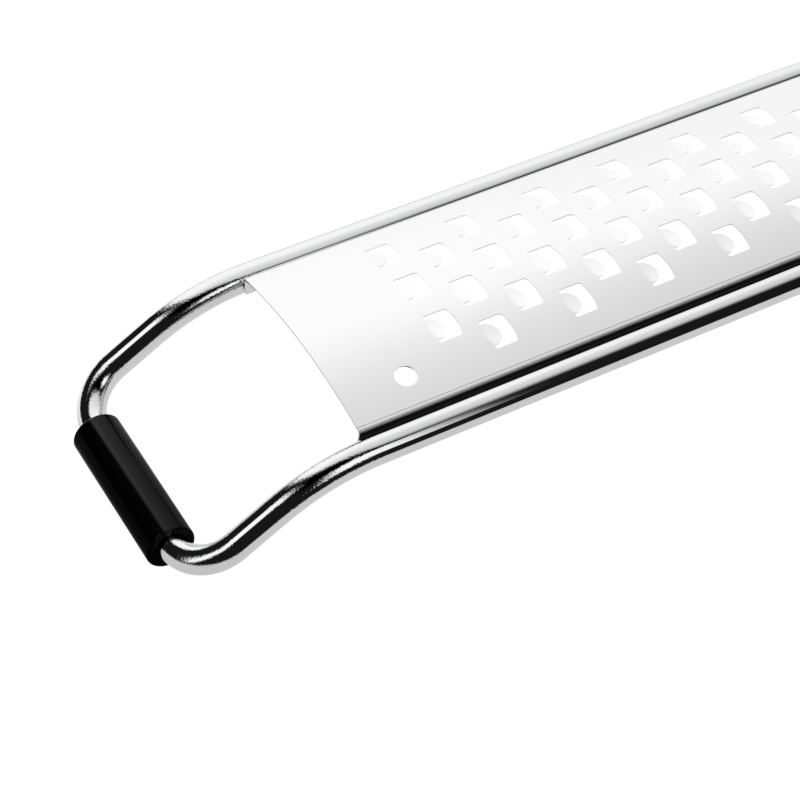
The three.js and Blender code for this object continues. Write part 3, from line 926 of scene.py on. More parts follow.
@dataclass(frozen=True)
class Opening:
    """One punched opening with its tongue, on the flat patch of sheet around them."""

    width: float = 7.7
    length: float = 5.8
    bulge: float = 0.3
    corner: float = 1
    root_corner: float = 0.5
    tongue_width: float = 5.8
    tongue_length: float = 3.35
    tongue_root: float = 0.75
    tongue_slope: float = 0.19
    tongue_crease: float = 0.5
    lead: float = 1.825
    patch_length: float = 9.95
    patch_width: float = 12.4
    patch_steps: tuple[int, int] = (6, 8)
    root_steps: int = 4
    side_steps: int = 4
    corner_steps: int = 6
    end_steps: int = 12
    tip_steps: int = 32
    tongue_steps: tuple[int, int] = (6, 9)
    tongue_crowding: float = 1.4
    tip_margin: float = 0.25
    cut_margin: float = 0.05

    @property
    def patch_step(self) -> Plan:
        """How far apart the points of the patch's outline are, along and across."""
        along, across = self.patch_steps
        return self.patch_length / along, self.patch_width / across

    def hole(self) -> list[Plan]:
        """Returns the opening's outline, from the one side of the tongue round to the other."""
        half, length = self.width / 2, self.length
        flank, root_flank = half - self.corner, half - self.root_corner
        side = [(0.0, self.tongue_width / 2), (0.0, root_flank)]
        side += curve_points(side[-1], (0.0, half), (self.root_corner, half), self.root_steps)
        side += line_points(side[-1], (length - self.corner, half), self.side_steps)
        side += curve_points(side[-1], (length, half), (length, flank), self.corner_steps)
        peak = (length + 2 * self.bulge, 0)
        end = curve_points((length, flank), peak, (length, -flank), self.end_steps)
        return side + end[:-1] + [(x, -y) for x, y in reversed(side)]

    def tip(self, shrink: float = 0) -> list[Plan]:
        """Returns the tongue's rounded edge seen from above, shrunk by a margin."""
        length, half = self.tongue_length - shrink, self.tongue_width / 2 - shrink
        turns = [step / self.tip_steps for step in range(self.tip_steps + 1)]
        angles = [math.radians(-90 + 180 * turn) for turn in turns]
        return [(length * math.cos(angle), half * math.sin(angle)) for angle in angles]

    def root(self, across: float) -> tuple[float, float]:
        """Returns where the tongue's curved crease lies across it, and how it slants there."""
        half = self.tongue_width / 2
        return self.tongue_root * ((across / half) ** 2 - 1), 2 * self.tongue_root * across / half**2

    def patch(self) -> list[Plan]:
        """Returns the patch's outline."""
        left, right = -self.lead, self.patch_length - self.lead
        side = self.patch_width / 2
        along, across = self.patch_steps
        outline = line_points((left, -side), (right, -side), along)
        outline += line_points((right, -side), (right, side), across)
        outline += line_points((right, side), (left, side), along)
        return outline + line_points((left, side), (left, -side), across)

    def tongue_points(self) -> list[Plan]:
        """Returns points spread over the tongue, from its crease towards its tip."""
        along, across = self.tongue_steps
        core = self.tip(self.tip_margin)
        points = []
        for column in range(across):
            y = ((column + 0.5) / across - 0.5) * self.tongue_width
            start, _ = self.root(y)
            reach = self.tongue_length * math.sqrt(1 - (2 * y / self.tongue_width) ** 2)
            for row in range(along):
                x = start + (reach - start) * (row / along) ** self.tongue_crowding
                if x < -self.cut_margin or is_inside((x, y), core):
                    points.append((x, y))
        return points

    def spot(self, point: Plan) -> SheetSpot:
        """Places a point of the patch.

        Args:
            point: The point in the flat.

        Returns:
            Its place, pressed down past the crease if it is on the tongue.
        """
        x, y = point
        start, slant = self.root(y)
        run = x - start
        is_tongue = x < TOUCH or is_inside(point, self.tip(-self.cut_margin))
        if run < 0 or abs(y) > self.tongue_width / 2 or not is_tongue:
            return SheetSpot(Vector((x, y, 0)))
        reach = math.hypot(run, self.tongue_crease)
        fall = self.tongue_slope * run / reach
        drop = self.tongue_slope * (reach - self.tongue_crease)
        facing = Vector((fall, -fall * slant, 1)).normalized()
        return SheetSpot(Vector((x, y, -drop)), facing, run / reach)

    def mesh(self, half: float) -> bpy.types.Mesh:
        """Builds the patch.

        Args:
            half: Half the sheet's thickness.

        Returns:
            The patch, open all round where its neighbours join it.
        """
        slot = self.hole() + self.tip()[1:-1]
        sheet = FlatSheet(half)
        sheet.loop(self.patch())
        sheet.loop(slot)
        sheet.points += self.tongue_points()

        def is_seam(point: Plan) -> bool:
            """Tells whether a point lies on the patch's outline."""
            ends = (point[0] + self.lead, self.patch_length - self.lead - point[0])
            return min(*ends, self.patch_width / 2 - abs(point[1])) < TOUCH

        return sheet.mesh("opening", lambda point: not is_inside(point, slot), self.spot, is_seam)


@dataclass
class GratingPlate:
    """The arched plate with rows of openings and a flange down each rail."""

    # A surface is one of the sheet's two faces if its direction agrees with theirs this well.
    FACE_COSINE = 0.5
    # A distance that takes the fold's painted shade and highlight well away from where they show.
    NO_FOLD = 99.0

    opening: Opening = Opening()
    length: float = 160
    thickness: float = 0.4
    arch_radius: float = field(init=False)
    arch_angle: float = field(init=False)
    edge_radius: float = 0.7
    edge_y: float = 24.32
    edge_z: float = 2.6
    crown_z: float = 6.6
    flange_depth: float = 3.5
    flange_lean: float = math.radians(8.7)
    rows: int = 6
    holes_per_row: int = 6
    row_spacing: float = 6.2
    hole_pitch: float = 19.9
    first_hole_x: float = 26
    wall_lean: float = 7
    round_hole_d: float = 5
    round_hole: Plan = (15.2, -17.5)
    round_hole_sides: int = 48
    round_hole_margin: float = 0.4
    patch_margin: float = 0.3
    front_steps: int = 8
    back_steps: int = 6
    edge_steps: int = 6
    flange_steps: int = 3
    sewing: float = 0.005
    finish: Finish = SatinSteel("satin_sheet")

    def __post_init__(self) -> None:
        """Works out the arch that meets both rounded edges smoothly."""
        drop = self.edge_z - self.crown_z
        squares = self.edge_radius**2 - drop**2 - self.edge_y**2
        self.arch_radius = squares / (2 * (drop + self.edge_radius))
        self.arch_angle = math.atan2(self.edge_y, self.edge_z - self.crown_z + self.arch_radius)

    @property
    def half(self) -> float:
        """Half the sheet's thickness."""
        return self.thickness / 2

    @property
    def arch_end(self) -> float:
        """Distance across from the crown, on the upper face, to where the arch ends."""
        return (self.arch_radius + self.half) * self.arch_angle

    @property
    def edge_turn(self) -> float:
        """How far the rounded edge turns from the arch to the flange."""
        return math.radians(90) + self.flange_lean - self.arch_angle

    @property
    def edge_end(self) -> float:
        """Distance across from the crown to where the flange starts."""
        return self.arch_end + self.edge_radius * self.edge_turn

    def field_outline(self) -> list[Plan]:
        """Returns the stepped outline of the patches with openings."""
        patch = self.opening
        step, rise = patch.patch_step
        reach = self.rows / 4 * patch.patch_width
        start = self.first_hole_x - patch.lead
        columns = [
            (start + patch.patch_length * index, self.row_spacing / 2 * (-1) ** index)
            for index in range(2 * self.holes_per_row)
        ]
        corners = []
        for x, shift in columns:
            corners += [(x, shift - reach), (x + patch.patch_length, shift - reach)]
        for x, shift in reversed(columns):
            corners += [(x + patch.patch_length, shift + reach), (x, shift + reach)]
        outline = []
        for a, b in zip(corners, corners[1:] + corners[:1]):
            steps = round(max(abs(b[0] - a[0]) / step, abs(b[1] - a[1]) / rise))
            outline += line_points(a, b, steps) if steps else []
        return outline

    def stations(self, start: float, end: float) -> list[float]:
        """Works out where the border has points along the plate.

        Args:
            start: Where the patches start.
            end: Where the patches end.

        Returns:
            The places, from the nose end to the handle end.
        """
        step = 2 * self.opening.patch_step[0]
        places = [start * index / self.front_steps for index in range(self.front_steps)]
        places += [start + step * index for index in range(round((end - start) / step) + 1)]
        shares = [(index + 1) / self.back_steps for index in range(self.back_steps)]
        return places + [end + (self.length - end) * share for share in shares]

    def levels(self) -> list[float]:
        """Returns where the border has points across the plate, from one flange to the other."""
        rise = self.opening.patch_step[1]
        half = [rise * index for index in range(math.floor(self.arch_end / rise) + 1)]
        turns = [index / self.edge_steps for index in range(self.edge_steps + 1)]
        half += [self.arch_end + (self.edge_end - self.arch_end) * turn for turn in turns]
        drops = [(index + 1) / self.flange_steps for index in range(self.flange_steps)]
        half += [self.edge_end + self.flange_depth * drop for drop in drops]
        return [-level for level in reversed(half[1:])] + half

    def bore(self) -> list[Plan]:
        """Returns the round hole's outline."""
        radius, (x, y) = self.round_hole_d / 2, self.round_hole
        turns = [2 * math.pi * side / self.round_hole_sides for side in range(self.round_hole_sides)]
        return [(x + radius * math.cos(turn), y + radius * math.sin(turn)) for turn in turns]

    def is_clear(self, point: Plan, patches: Sequence[Plan]) -> bool:
        """Tells whether a point keeps its distance from the patches and the round hole."""
        x, y = point
        shifts = (-self.patch_margin, self.patch_margin)
        near = any(is_inside((x + a, y + b), patches) for a in shifts for b in shifts)
        reach = self.round_hole_d / 2 + self.round_hole_margin
        return not near and math.dist(point, self.round_hole) > reach

    def border(self) -> bpy.types.Mesh:
        """Returns the flat sheet round the patches, open where they join it, with its ends marked."""
        patches, bore = self.field_outline(), self.bore()
        xs, levels = self.stations(min(patches)[0], max(patches)[0]), self.levels()
        rim = [(x, levels[0]) for x in xs] + [(xs[-1], level) for level in levels[1:]]
        rim += [(x, levels[-1]) for x in reversed(xs[:-1])]
        rim += [(xs[0], level) for level in reversed(levels[1:-1])]
        sheet = FlatSheet(self.half)
        for outline in (rim, patches, bore):
            sheet.loop(outline)
        grid = [(x, level) for x in xs[1:-1] for level in levels[1:-1]]
        sheet.points += [point for point in grid if self.is_clear(point, patches)]
        stops = {snapped(*point) for point in patches}
        step, rise = self.opening.patch_step

        def keep(point: Plan) -> bool:
            """Tells whether a point is outside the patches and the round hole."""
            return not is_inside(point, patches) and not is_inside(point, bore)

        def is_seam(point: Plan) -> bool:
            """Tells whether a point lies halfway between two stops of the patches' outline."""
            x, y = point
            shifts = ((step / 2, 0), (0, rise / 2))
            pairs = [(snapped(x - a, y - b), snapped(x + a, y + b)) for a, b in shifts]
            return any(before in stops and after in stops for before, after in pairs)

        mesh = sheet.mesh("border", keep, lambda p: SheetSpot(Vector((*p, 0))), is_seam)
        # The walls at the plate's ends are marked apart, for their painted shade in place of the opening
        # walls' painted highlight.
        for polygon, mark in zip(mesh.polygons, mesh.attributes["cut"].data):
            if min(polygon.center.x, self.length - polygon.center.x) < self.half:
                mark.value *= -1
        return mesh

    def tree(self) -> ShapeTree:
        """Returns the tree that sets out the openings and rolls the sheet onto its arch."""
        tree = ShapeTree("openings_on_arch")
        spacing = tree.input("Row Spacing")
        points = tree.set_out(tree.input("Hole Pitch"), spacing, tree.input("First Hole"))
        instances = {"Geometry": tree.copies("Opening", points)}
        openings = tree.sketch.add("GeometryNodeRealizeInstances", instances).outputs[0]
        parts = {"Geometry": tree.joined(openings, tree.geometry()), "Distance": self.sewing}
        sewn = tree.sketch.add("GeometryNodeMergeByDistance", parts).outputs[0]
        tree.close(self.roll(tree, sewn))
        return tree

    def roll(self, tree: ShapeTree, flat: bpy.types.NodeSocket) -> bpy.types.NodeSocket:
        """Rolls a flat sheet onto the arch, round the two edges and down the flanges.

        Args:
            tree: The tree that is drawn on.
            flat: The sheet, with its height as the distance from its middle.

        Returns:
            The rolled sheet, which notes its turn at each point, and how far past the arch a point
            of the near side's outer face is.
        """
        sketch = tree.sketch
        arch, angle = tree.input("Arch Radius"), tree.input("Arch Angle")
        edge, edge_turn = tree.input("Edge Radius"), tree.input("Edge Turn")
        arch_end, edge_end = tree.input("Arch End"), tree.input("Edge End")
        place = sketch.add("GeometryNodeInputPosition").outputs[0]
        x, across, height = sketch.add("ShaderNodeSeparateXYZ", {0: place}).outputs
        side = sketch.math("SIGN", across)
        away = sketch.math("ABSOLUTE", across)

        def past(stop: Any) -> bpy.types.NodeSocket:
            """Returns how far the sheet runs past a stop."""
            return sketch.math("MAXIMUM", sketch.math("SUBTRACT", away, stop), 0.0)

        rolled = sketch.math("MULTIPLY", sketch.math("DIVIDE", away, arch_end), angle)
        rolled = sketch.math("MINIMUM", rolled, angle)
        turned = sketch.math("MINIMUM", sketch.math("DIVIDE", past(arch_end), edge), edge_turn)
        turned = sketch.math("ADD", turned, angle)
        steepest = sketch.math("ADD", angle, edge_turn)
        total = sketch.math("SUBTRACT", sketch.math("ADD", rolled, turned), angle)
        flange = past(edge_end)

        def along(wave: str, sign: float, other: str) -> bpy.types.NodeSocket:
            """Returns one part of the rolled place, from the sine or cosine of each turn."""
            bent = sketch.math("SUBTRACT", sketch.math(wave, turned), sketch.math(wave, angle))
            sums = sketch.math("MULTIPLY", arch, sketch.math(wave, rolled))
            sums = sketch.math("ADD", sums, sketch.math("MULTIPLY", edge, bent))
            run = sketch.math("MULTIPLY", flange, sketch.math(other, steepest))
            sums = sketch.math("ADD", sums, sketch.math("MULTIPLY", run, sign))
            return sketch.math("ADD", sums, sketch.math("MULTIPLY", height, sketch.math(wave, total)))

        y = sketch.math("MULTIPLY", along("SINE", 1.0, "COSINE"), side)
        z = sketch.math("ADD", along("COSINE", -1.0, "SINE"), tree.input("Arch Centre"))
        kept = flat
        # Only the near side's outer face keeps its distance past the arch, so the painted crease shade,
        # fold highlight and flange shade show there alone.
        unseen = sketch.math("MAXIMUM", sketch.math("LESS_THAN", height, 0.0), side)
        unseen = sketch.math("MULTIPLY", unseen, self.NO_FOLD)
        fold = sketch.math("SUBTRACT", sketch.math("SUBTRACT", away, arch_end), unseen)
        for name, value in (("turn", sketch.math("MULTIPLY", total, side)), ("fold", fold)):
            store = {"Geometry": kept, "Name": name, "Value": value}
            kept = sketch.add("GeometryNodeStoreNamedAttribute", store, data_type="FLOAT").outputs[0]
        target = sketch.add("ShaderNodeCombineXYZ", {"X": x, "Y": y, "Z": z}).outputs[0]
        return sketch.add("GeometryNodeSetPosition", {"Geometry": kept, "Position": target}).outputs[0]

    def shade(self, mesh: bpy.types.Mesh) -> None:
        """Gives both faces the true directions of the sheet's arch, edges and tongues.

        The walls of the openings are shaded as rounded over to the upper face, as a punched edge is,
        and the walls at the plate's ends as square.

        Args:
            mesh: The plate, laid down.
        """
        turns = [item.value for item in mesh.attributes["turn"].data]
        flats = [item.vector for item in mesh.attributes["facing"].data]
        tilt = REST.matrix().to_3x3().normalized()
        faces = [
            (tilt @ Matrix.Rotation(-turn, 3, "X") @ flat).normalized()
            for turn, flat in zip(turns, flats)
        ]
        normals = [Vector((0, 0, 1))] * len(mesh.loops)
        reach = [vertex.co.x for vertex in mesh.vertices]
        start, end = min(reach) + MM, max(reach) - MM
        for polygon in mesh.polygons:
            lean = self.wall_lean if start < polygon.center.x < end else 0
            for index in polygon.loop_indices:
                face = faces[mesh.loops[index].vertex_index]
                facing = polygon.normal.dot(face)
                if abs(facing) > self.FACE_COSINE:
                    normals[index] = face * math.copysign(1, facing)
                else:
                    normals[index] = (polygon.normal + face * lean).normalized()
        mesh.normals_split_custom_set([tuple(normal) for normal in normals])

    def build(self) -> bpy.types.Object:
        """Builds and dresses the plate."""
        patch = add_object("opening", self.opening.mesh(self.half))
        values = {
            "Rows": self.rows,
            "Columns": self.holes_per_row,
            "Hole Pitch": self.hole_pitch,
            "Row Spacing": self.row_spacing,
            "First Hole": self.first_hole_x,
            "Opening": patch,
            "Arch Radius": self.arch_radius,
            "Arch Angle": self.arch_angle,
            "Arch End": self.arch_end,
            "Arch Centre": self.crown_z - self.arch_radius,
            "Edge Radius": self.edge_radius,
            "Edge Turn": self.edge_turn,
            "Edge End": self.edge_end,
            "Finish": self.finish.make(),
        }
        mesh = self.tree().mesh(self.border(), values)
        discard(patch)
        REST.lay(mesh)
        self.shade(mesh)
        return dress("grating_plate", mesh)


@dataclass
class NoseSleeve:
    """The rubber sleeve on the nose bar, which is the foot."""

    diameter: float = 10.89
    length: float = 36
    bore_d: float = 6.95
    drop: float = 0.65
    rim: float = 0.6
    # Where the painted sheen is strongest round the sleeve, and how fast it fades to each side.
    sheen_at: float = math.radians(112)
    sheen_spread: Plan = (math.radians(20), math.radians(9))
    finish: Finish = SoftBlack(
        "foot_rubber",
        color=(0.0011, 0.0011, 0.0014),
        shade=(0.0017, 0.0017, 0.0021),
        gloss=(0.13, 0.18),
        specular=0.004,
        sheen_level=0.42,
        strength=0.06,
    )

    def paint_sheen(self, mesh: bpy.types.Mesh) -> None:
        """Notes a painted sheen round the sleeve: a band along its top that fades slowly to the one side
        and quickly to the other.
        """
        worn = mesh.attributes.new("worn", "FLOAT", "POINT")
        inward, outward = self.sheen_spread
        for index, vertex in enumerate(mesh.vertices):
            away = math.atan2(vertex.co.z, vertex.co.x) - self.sheen_at
            worn.data[index].value = math.exp(away / inward if away < 0 else -away / outward)

    def build(self) -> bpy.types.Object:
        """Builds and dresses the sleeve."""
        half, bore = self.length / 2, self.bore_d / 2
        shoulder = self.diameter / 2 - self.rim
        profile = [(bore, -half)]
        profile += edge_round(shoulder, self.rim - half, self.rim, Edge.FRONT)
        profile += edge_round(shoulder, half - self.rim, self.rim, Edge.BACK)
        profile += [(bore, half), (bore, -half)]
        mesh = turned_mesh("sleeve", profile, axis=Axis.ACROSS)
        for vertex in mesh.vertices:
            if math.hypot(vertex.co.x, vertex.co.z) < bore + TOUCH:
                vertex.co.z += self.drop
        self.paint_sheen(mesh)
        mesh.transform(Matrix.Translation((REST.bar_x, 0, REST.sleeve_z)))
        mesh.materials.append(self.finish.make())
        return settle("nose_sleeve", mesh)


@dataclass
class Handle:
    """The handle on the two tails: collar, core, pins, grip, end cap and eyelet."""

    start: float
    tail_y: float
    oval: float = 1.4
    bore_d: float = 6.95
    collar_length: float = 7.5
    collar_front_r: float = 8
    collar_back_r: float = 9
    collar_round: float = 1.2
    collar_back_round: float = 0.35
    joint: float = 0.3
    grip_length: float = 68
    grip_bore_r: float = 8.2
    grip_front_r: float = 9.4
    grip_swell: Plan = (20.4, 11.1)
    grip_belly: Plan = (39.4, 12)
    grip_back_r: float = 9.8
    grip_round: float = 0.8
    grip_steps: int = 14
    dot_r: float = 0.85
    dot_height: float = 0.4
    dot_shoulder: float = 0.72
    dot_sides: int = 12
    dot_pitch: float = 3
    dot_rows: int = 7
    dots_per_row: int = 11
    dots_start: float = 14
    dots_above: float = 50
    cap_length: float = 25
    cap_front_r: float = 9.4
    cap_back_r: float = 8.6
    cap_round: float = 4
    cap_round_steps: int = 16
    cap_front_round: float = 0.4
    socket_r: float = 5.5
    socket_depth: float = 6.5
    hang_hole_setback: float = 11
    hang_hole_d: float = 10.6
    eyelet_outer_d: float = 10
    eyelet_bore_d: float = 8.2
    eyelet_length: float = 16.4
    collar_finish: Finish = PolishedSteel("polished_collar", polish=(0.06, 0.12))
    grip_finish: Finish = SoftBlack(
        "grip_rubber",
        color=(0.016, 0.016, 0.018),
        shade=(0.024, 0.024, 0.027),
        gloss=(0.52, 0.64),
        texture=2600,
        strength=0.3,
    )
    cap_finish: Finish = SoftBlack(
        "cap_plastic", color=(0.014, 0.014, 0.016), shade=(0.02, 0.02, 0.022), gloss=(0.3, 0.4)
    )
    core_finish: Finish = SoftBlack(
        "core_plastic", color=(0.02, 0.02, 0.022), shade=(0.03, 0.03, 0.032), gloss=(0.45, 0.55)
    )
    eyelet_finish: Finish = PolishedSteel("eyelet_steel", polish=(0.05, 0.1))
    pin_finish: Finish = PolishedSteel(
        "pin_steel", color=(0.5, 0.51, 0.52), shade=(0.44, 0.45, 0.46), polish=(0.25, 0.4)
    )

    @property
    def grip_x(self) -> float:
        """Where the grip starts."""
        return self.start + self.collar_length + self.joint

    @property
    def cap_x(self) -> float:
        """Where the end cap starts."""
        return self.grip_x + self.grip_length + self.joint

    @property
    def hang_x(self) -> float:
        """Where the hanging hole is."""
        return self.cap_x + self.cap_length - self.hang_hole_setback

    def finished(self, node: str, mesh: bpy.types.Mesh, finish: Finish) -> bpy.types.Object:
        """Gives a handle piece its finish and settles it.

        Args:
            node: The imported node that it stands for.
            mesh: The piece's mesh, in millimetres along the rails.
            finish: Its finish.

        Returns:
            The new piece.
        """
        mesh.materials.clear()
        mesh.materials.append(finish.make())
        return settle(node, mesh)

    def collar(self) -> bpy.types.Object:
        """Builds the polished collar that the tails run into."""
        back = self.start + self.collar_length
        front_round, back_round = self.collar_round, self.collar_back_round
        profile = [(0, self.start)]
        profile += edge_round(
            self.collar_front_r - front_round, self.start + front_round, front_round, Edge.FRONT
        )
        profile += edge_round(self.collar_back_r - back_round, back - back_round, back_round, Edge.BACK)
        profile += [(0, back)]
        reach = CUTTER_REACH * self.collar_length
        bores = [
            bar_mesh(self.bore_d / 2, reach, (self.start, y, 0), Axis.ALONG)
            for y in (-self.tail_y, self.tail_y)
        ]
        mesh = carved(turned_mesh("collar", profile, self.oval), bores)
        return self.finished("handle_collar", mesh, self.collar_finish)

    def grip(self) -> bpy.types.Object:
        """Builds the soft grip with a field of raised dots for the thumb."""
        front, back = self.grip_x, self.grip_x + self.grip_length
        swell_at, swell_r = self.grip_swell
        belly_at, belly_r = self.grip_belly
        size = self.grip_round
        knots = [
            (self.grip_front_r, front + size),
            (swell_r, front + swell_at),
            (belly_r, front + belly_at),
            (self.grip_back_r, back - size),
        ]
        profile = [(self.grip_bore_r, front)]
        profile += edge_round(self.grip_front_r - size, front + size, size, Edge.FRONT)[:-1]
        profile += spline_points(knots, self.grip_steps)
        profile += edge_round(self.grip_back_r - size, back - size, size, Edge.BACK)[1:]
        profile += [(self.grip_bore_r, back), (self.grip_bore_r, front)]
        dome = [(0, -self.dot_height), (self.dot_r, -self.dot_height), (self.dot_r, 0)]
        dome += [(self.dot_shoulder * self.dot_r, self.dot_shoulder * self.dot_height)]
        dome += [(0, self.dot_height)]
        dot = add_object("dot", turned_mesh("dot", dome, sides=self.dot_sides, axis=Axis.UP))
        values = {
            "Dot": dot,
            "Rows": self.dot_rows,
            "Columns": self.dots_per_row,
            "Pitch": self.dot_pitch,
            "First Dot": front + self.dots_start,
            "Finish": self.grip_finish.make(),
        }
        mesh = self.dots().mesh(turned_mesh("grip", profile, self.oval), values)
        discard(dot)
        return settle("handle_grip", mesh)

    def dots(self) -> ShapeTree:
        """Returns the tree that drops rows of dots onto the grip from above."""
        tree = ShapeTree("dots_on_grip")
        sketch = tree.sketch
        grip, pitch = tree.geometry(), tree.input("Pitch")
        above = tree.set_out(pitch, pitch, tree.input("First Dot"), self.dots_above)
        ray = {"Target Geometry": grip, "Ray Direction": (0, 0, -1), "Ray Length": 2 * self.dots_above}
        hit = sketch.add("GeometryNodeRaycast", ray).outputs
        note = {"Geometry": above, "Name": "facing", "Value": hit["Hit Normal"]}
        noted = sketch.add("GeometryNodeStoreNamedAttribute", note, data_type="FLOAT_VECTOR")
        drop = {"Geometry": noted.outputs[0], "Position": hit["Hit Position"]}
        landed = sketch.add("GeometryNodeSetPosition", drop).outputs[0]
        held = sketch.add(
            "GeometryNodeInputNamedAttribute", {"Name": "facing"}, data_type="FLOAT_VECTOR"
        )
        turn = sketch.add("FunctionNodeAlignRotationToVector", {"Vector": held.outputs[0]}, axis="Z")
        tree.close(tree.joined(tree.copies("Dot", landed, Rotation=turn.outputs[0]), grip))
        return tree

    def cap(self) -> bpy.types.Object:
        """Builds the end cap with its socket and its hanging hole."""
        front, back = self.cap_x, self.cap_x + self.cap_length
        lip, size = self.cap_front_round, self.cap_round
        profile = [(0, front)]
        profile += edge_round(self.cap_front_r - lip, front + lip, lip, Edge.FRONT)
        profile += edge_round(self.cap_back_r - size, back - size, size, Edge.BACK, self.cap_round_steps)
        profile += [(0, back)]
        socket = [
            (0, front - self.socket_depth),
            (self.socket_r, front - self.socket_depth),
            (self.socket_r, front + self.socket_depth),
            (0, front + self.socket_depth),
        ]
        reach = CUTTER_REACH * self.cap_front_r
        cutters = [
            turned_mesh("socket", socket, self.oval),
            bar_mesh(self.hang_hole_d / 2, reach, (self.hang_x, 0, 0), Axis.UP),
        ]
        mesh = carved(turned_mesh("cap", profile, self.oval), cutters)
        return self.finished("handle_end_cap", mesh, self.cap_finish)

    def eyelet(self) -> bpy.types.Object:
        """Builds the steel eyelet that lines the hanging hole."""
        half = self.eyelet_length / 2
        outer, bore = self.eyelet_outer_d / 2, self.eyelet_bore_d / 2
        size = (outer - bore) / 2
        profile = edge_round(outer - size, size - half, size, Edge.FRONT)
        profile += edge_round(outer - size, half - size, size, Edge.BACK)
        inner = [(2 * (outer - size) - r, x) for r, x in reversed(profile)]
        profile += inner[1:-1] + profile[:1]
        mesh = turned_mesh("eyelet", profile, axis=Axis.UP)
        mesh.transform(Matrix.Translation((self.hang_x, 0, 0)))
        return self.finished("hanging_eyelet", mesh, self.eyelet_finish)

    def build(self) -> list[bpy.types.Object]:
        """Builds and dresses the handle's pieces."""
        finish_node("handle_core", self.core_finish)
        finish_node("tail_pin_left", self.pin_finish)
        finish_node("tail_pin_right", self.pin_finish)
        return [self.collar(), self.grip(), self.cap(), self.eyelet()]


@dataclass(frozen=True)
class LightPanel:
    """A soft panel of light round the object.

    Its spread is given in degrees: over runs from the horizon behind the object, over the top,
    to the horizon in front, and side runs from the nose side to the handle side.
    """

    over: Plan
    side: Plan
    level: float
    soft: Plan = (3, 3)

    def strength(self, sketch: NodeSketch, over: Any, side: Any) -> bpy.types.NodeSocket:
        """Returns the panel's light in a direction.

        Args:
            sketch: The world's nodes.
            over: The direction's angle over the top.
            side: Its angle to the side.

        Returns:
            The strength of its light.
        """
        shares = []
        for angle, (low, high), soft in zip((over, side), (self.over, self.side), self.soft):
            shares.append(sketch.ramp(angle, low - soft, low + soft))
            shares.append(sketch.ramp(angle, high + soft, high - soft))
        total = sketch.math("MULTIPLY", shares[0], self.level)
        for share in shares[1:]:
            total = sketch.math("MULTIPLY", total, share)
        return total


@dataclass(frozen=True)
class Fade:
    """A line across a softbox where its light fades.

    Dark and bright are measured along a heading, which is given in degrees from X towards Y.
    """

    heading: float
    dark: float
    bright: float
    share: float = 1

    def left(self, sketch: NodeSketch, x: Any, y: Any) -> bpy.types.NodeSocket:
        """Returns the share of light that is left at a place on the softbox."""
        turn = math.radians(self.heading)
        along = sketch.math("MULTIPLY", x, math.cos(turn))
        along = sketch.math("ADD", along, sketch.math("MULTIPLY", y, math.sin(turn)))
        return sketch.span(sketch.ramp(along, self.dark, self.bright), 1 - self.share, 1)


@dataclass(frozen=True)
class Softbox:
    """A level sheet of light close over the object, which fades towards its edges."""

    height: float = 0.166
    along: Plan = (-0.205, 0.7)
    across: Plan = (-0.115, 0.9)
    level: float = 1.355
    fades: Sequence[Fade] = (
        Fade(10, -0.172, -0.150),
        Fade(45, -0.112, -0.088),
        Fade(90, -0.122, -0.02),
        Fade(90, -0.02, 0.13, share=0.3),
        Fade(180, -0.25, 0.06, share=0.08),
    )

    def material(self) -> bpy.types.Material:
        """Returns the light that it gives off."""
        sketch = MaterialSketch("soft_light")
        x, y, _ = sketch.add("ShaderNodeSeparateXYZ", {0: sketch.place}).outputs
        light: Any = self.level
        for fade in self.fades:
            light = sketch.math("MULTIPLY", fade.left(sketch, x, y), light)
        sketch.show(sketch.add("ShaderNodeEmission", {"Strength": light}))
        return sketch.material

    def build(self) -> bpy.types.Object:
        """Builds the softbox, which the camera looks past."""
        (left, right), (near, far) = self.along, self.across
        plan = [(left, near), (left, far), (right, far), (right, near)]
        mesh = mesh_from("softbox", [(x, y, self.height) for x, y in plan], [(0, 1, 2, 3)])
        mesh.materials.append(self.material())
        box = add_object("softbox", mesh)
        box.visible_camera = False
        return box


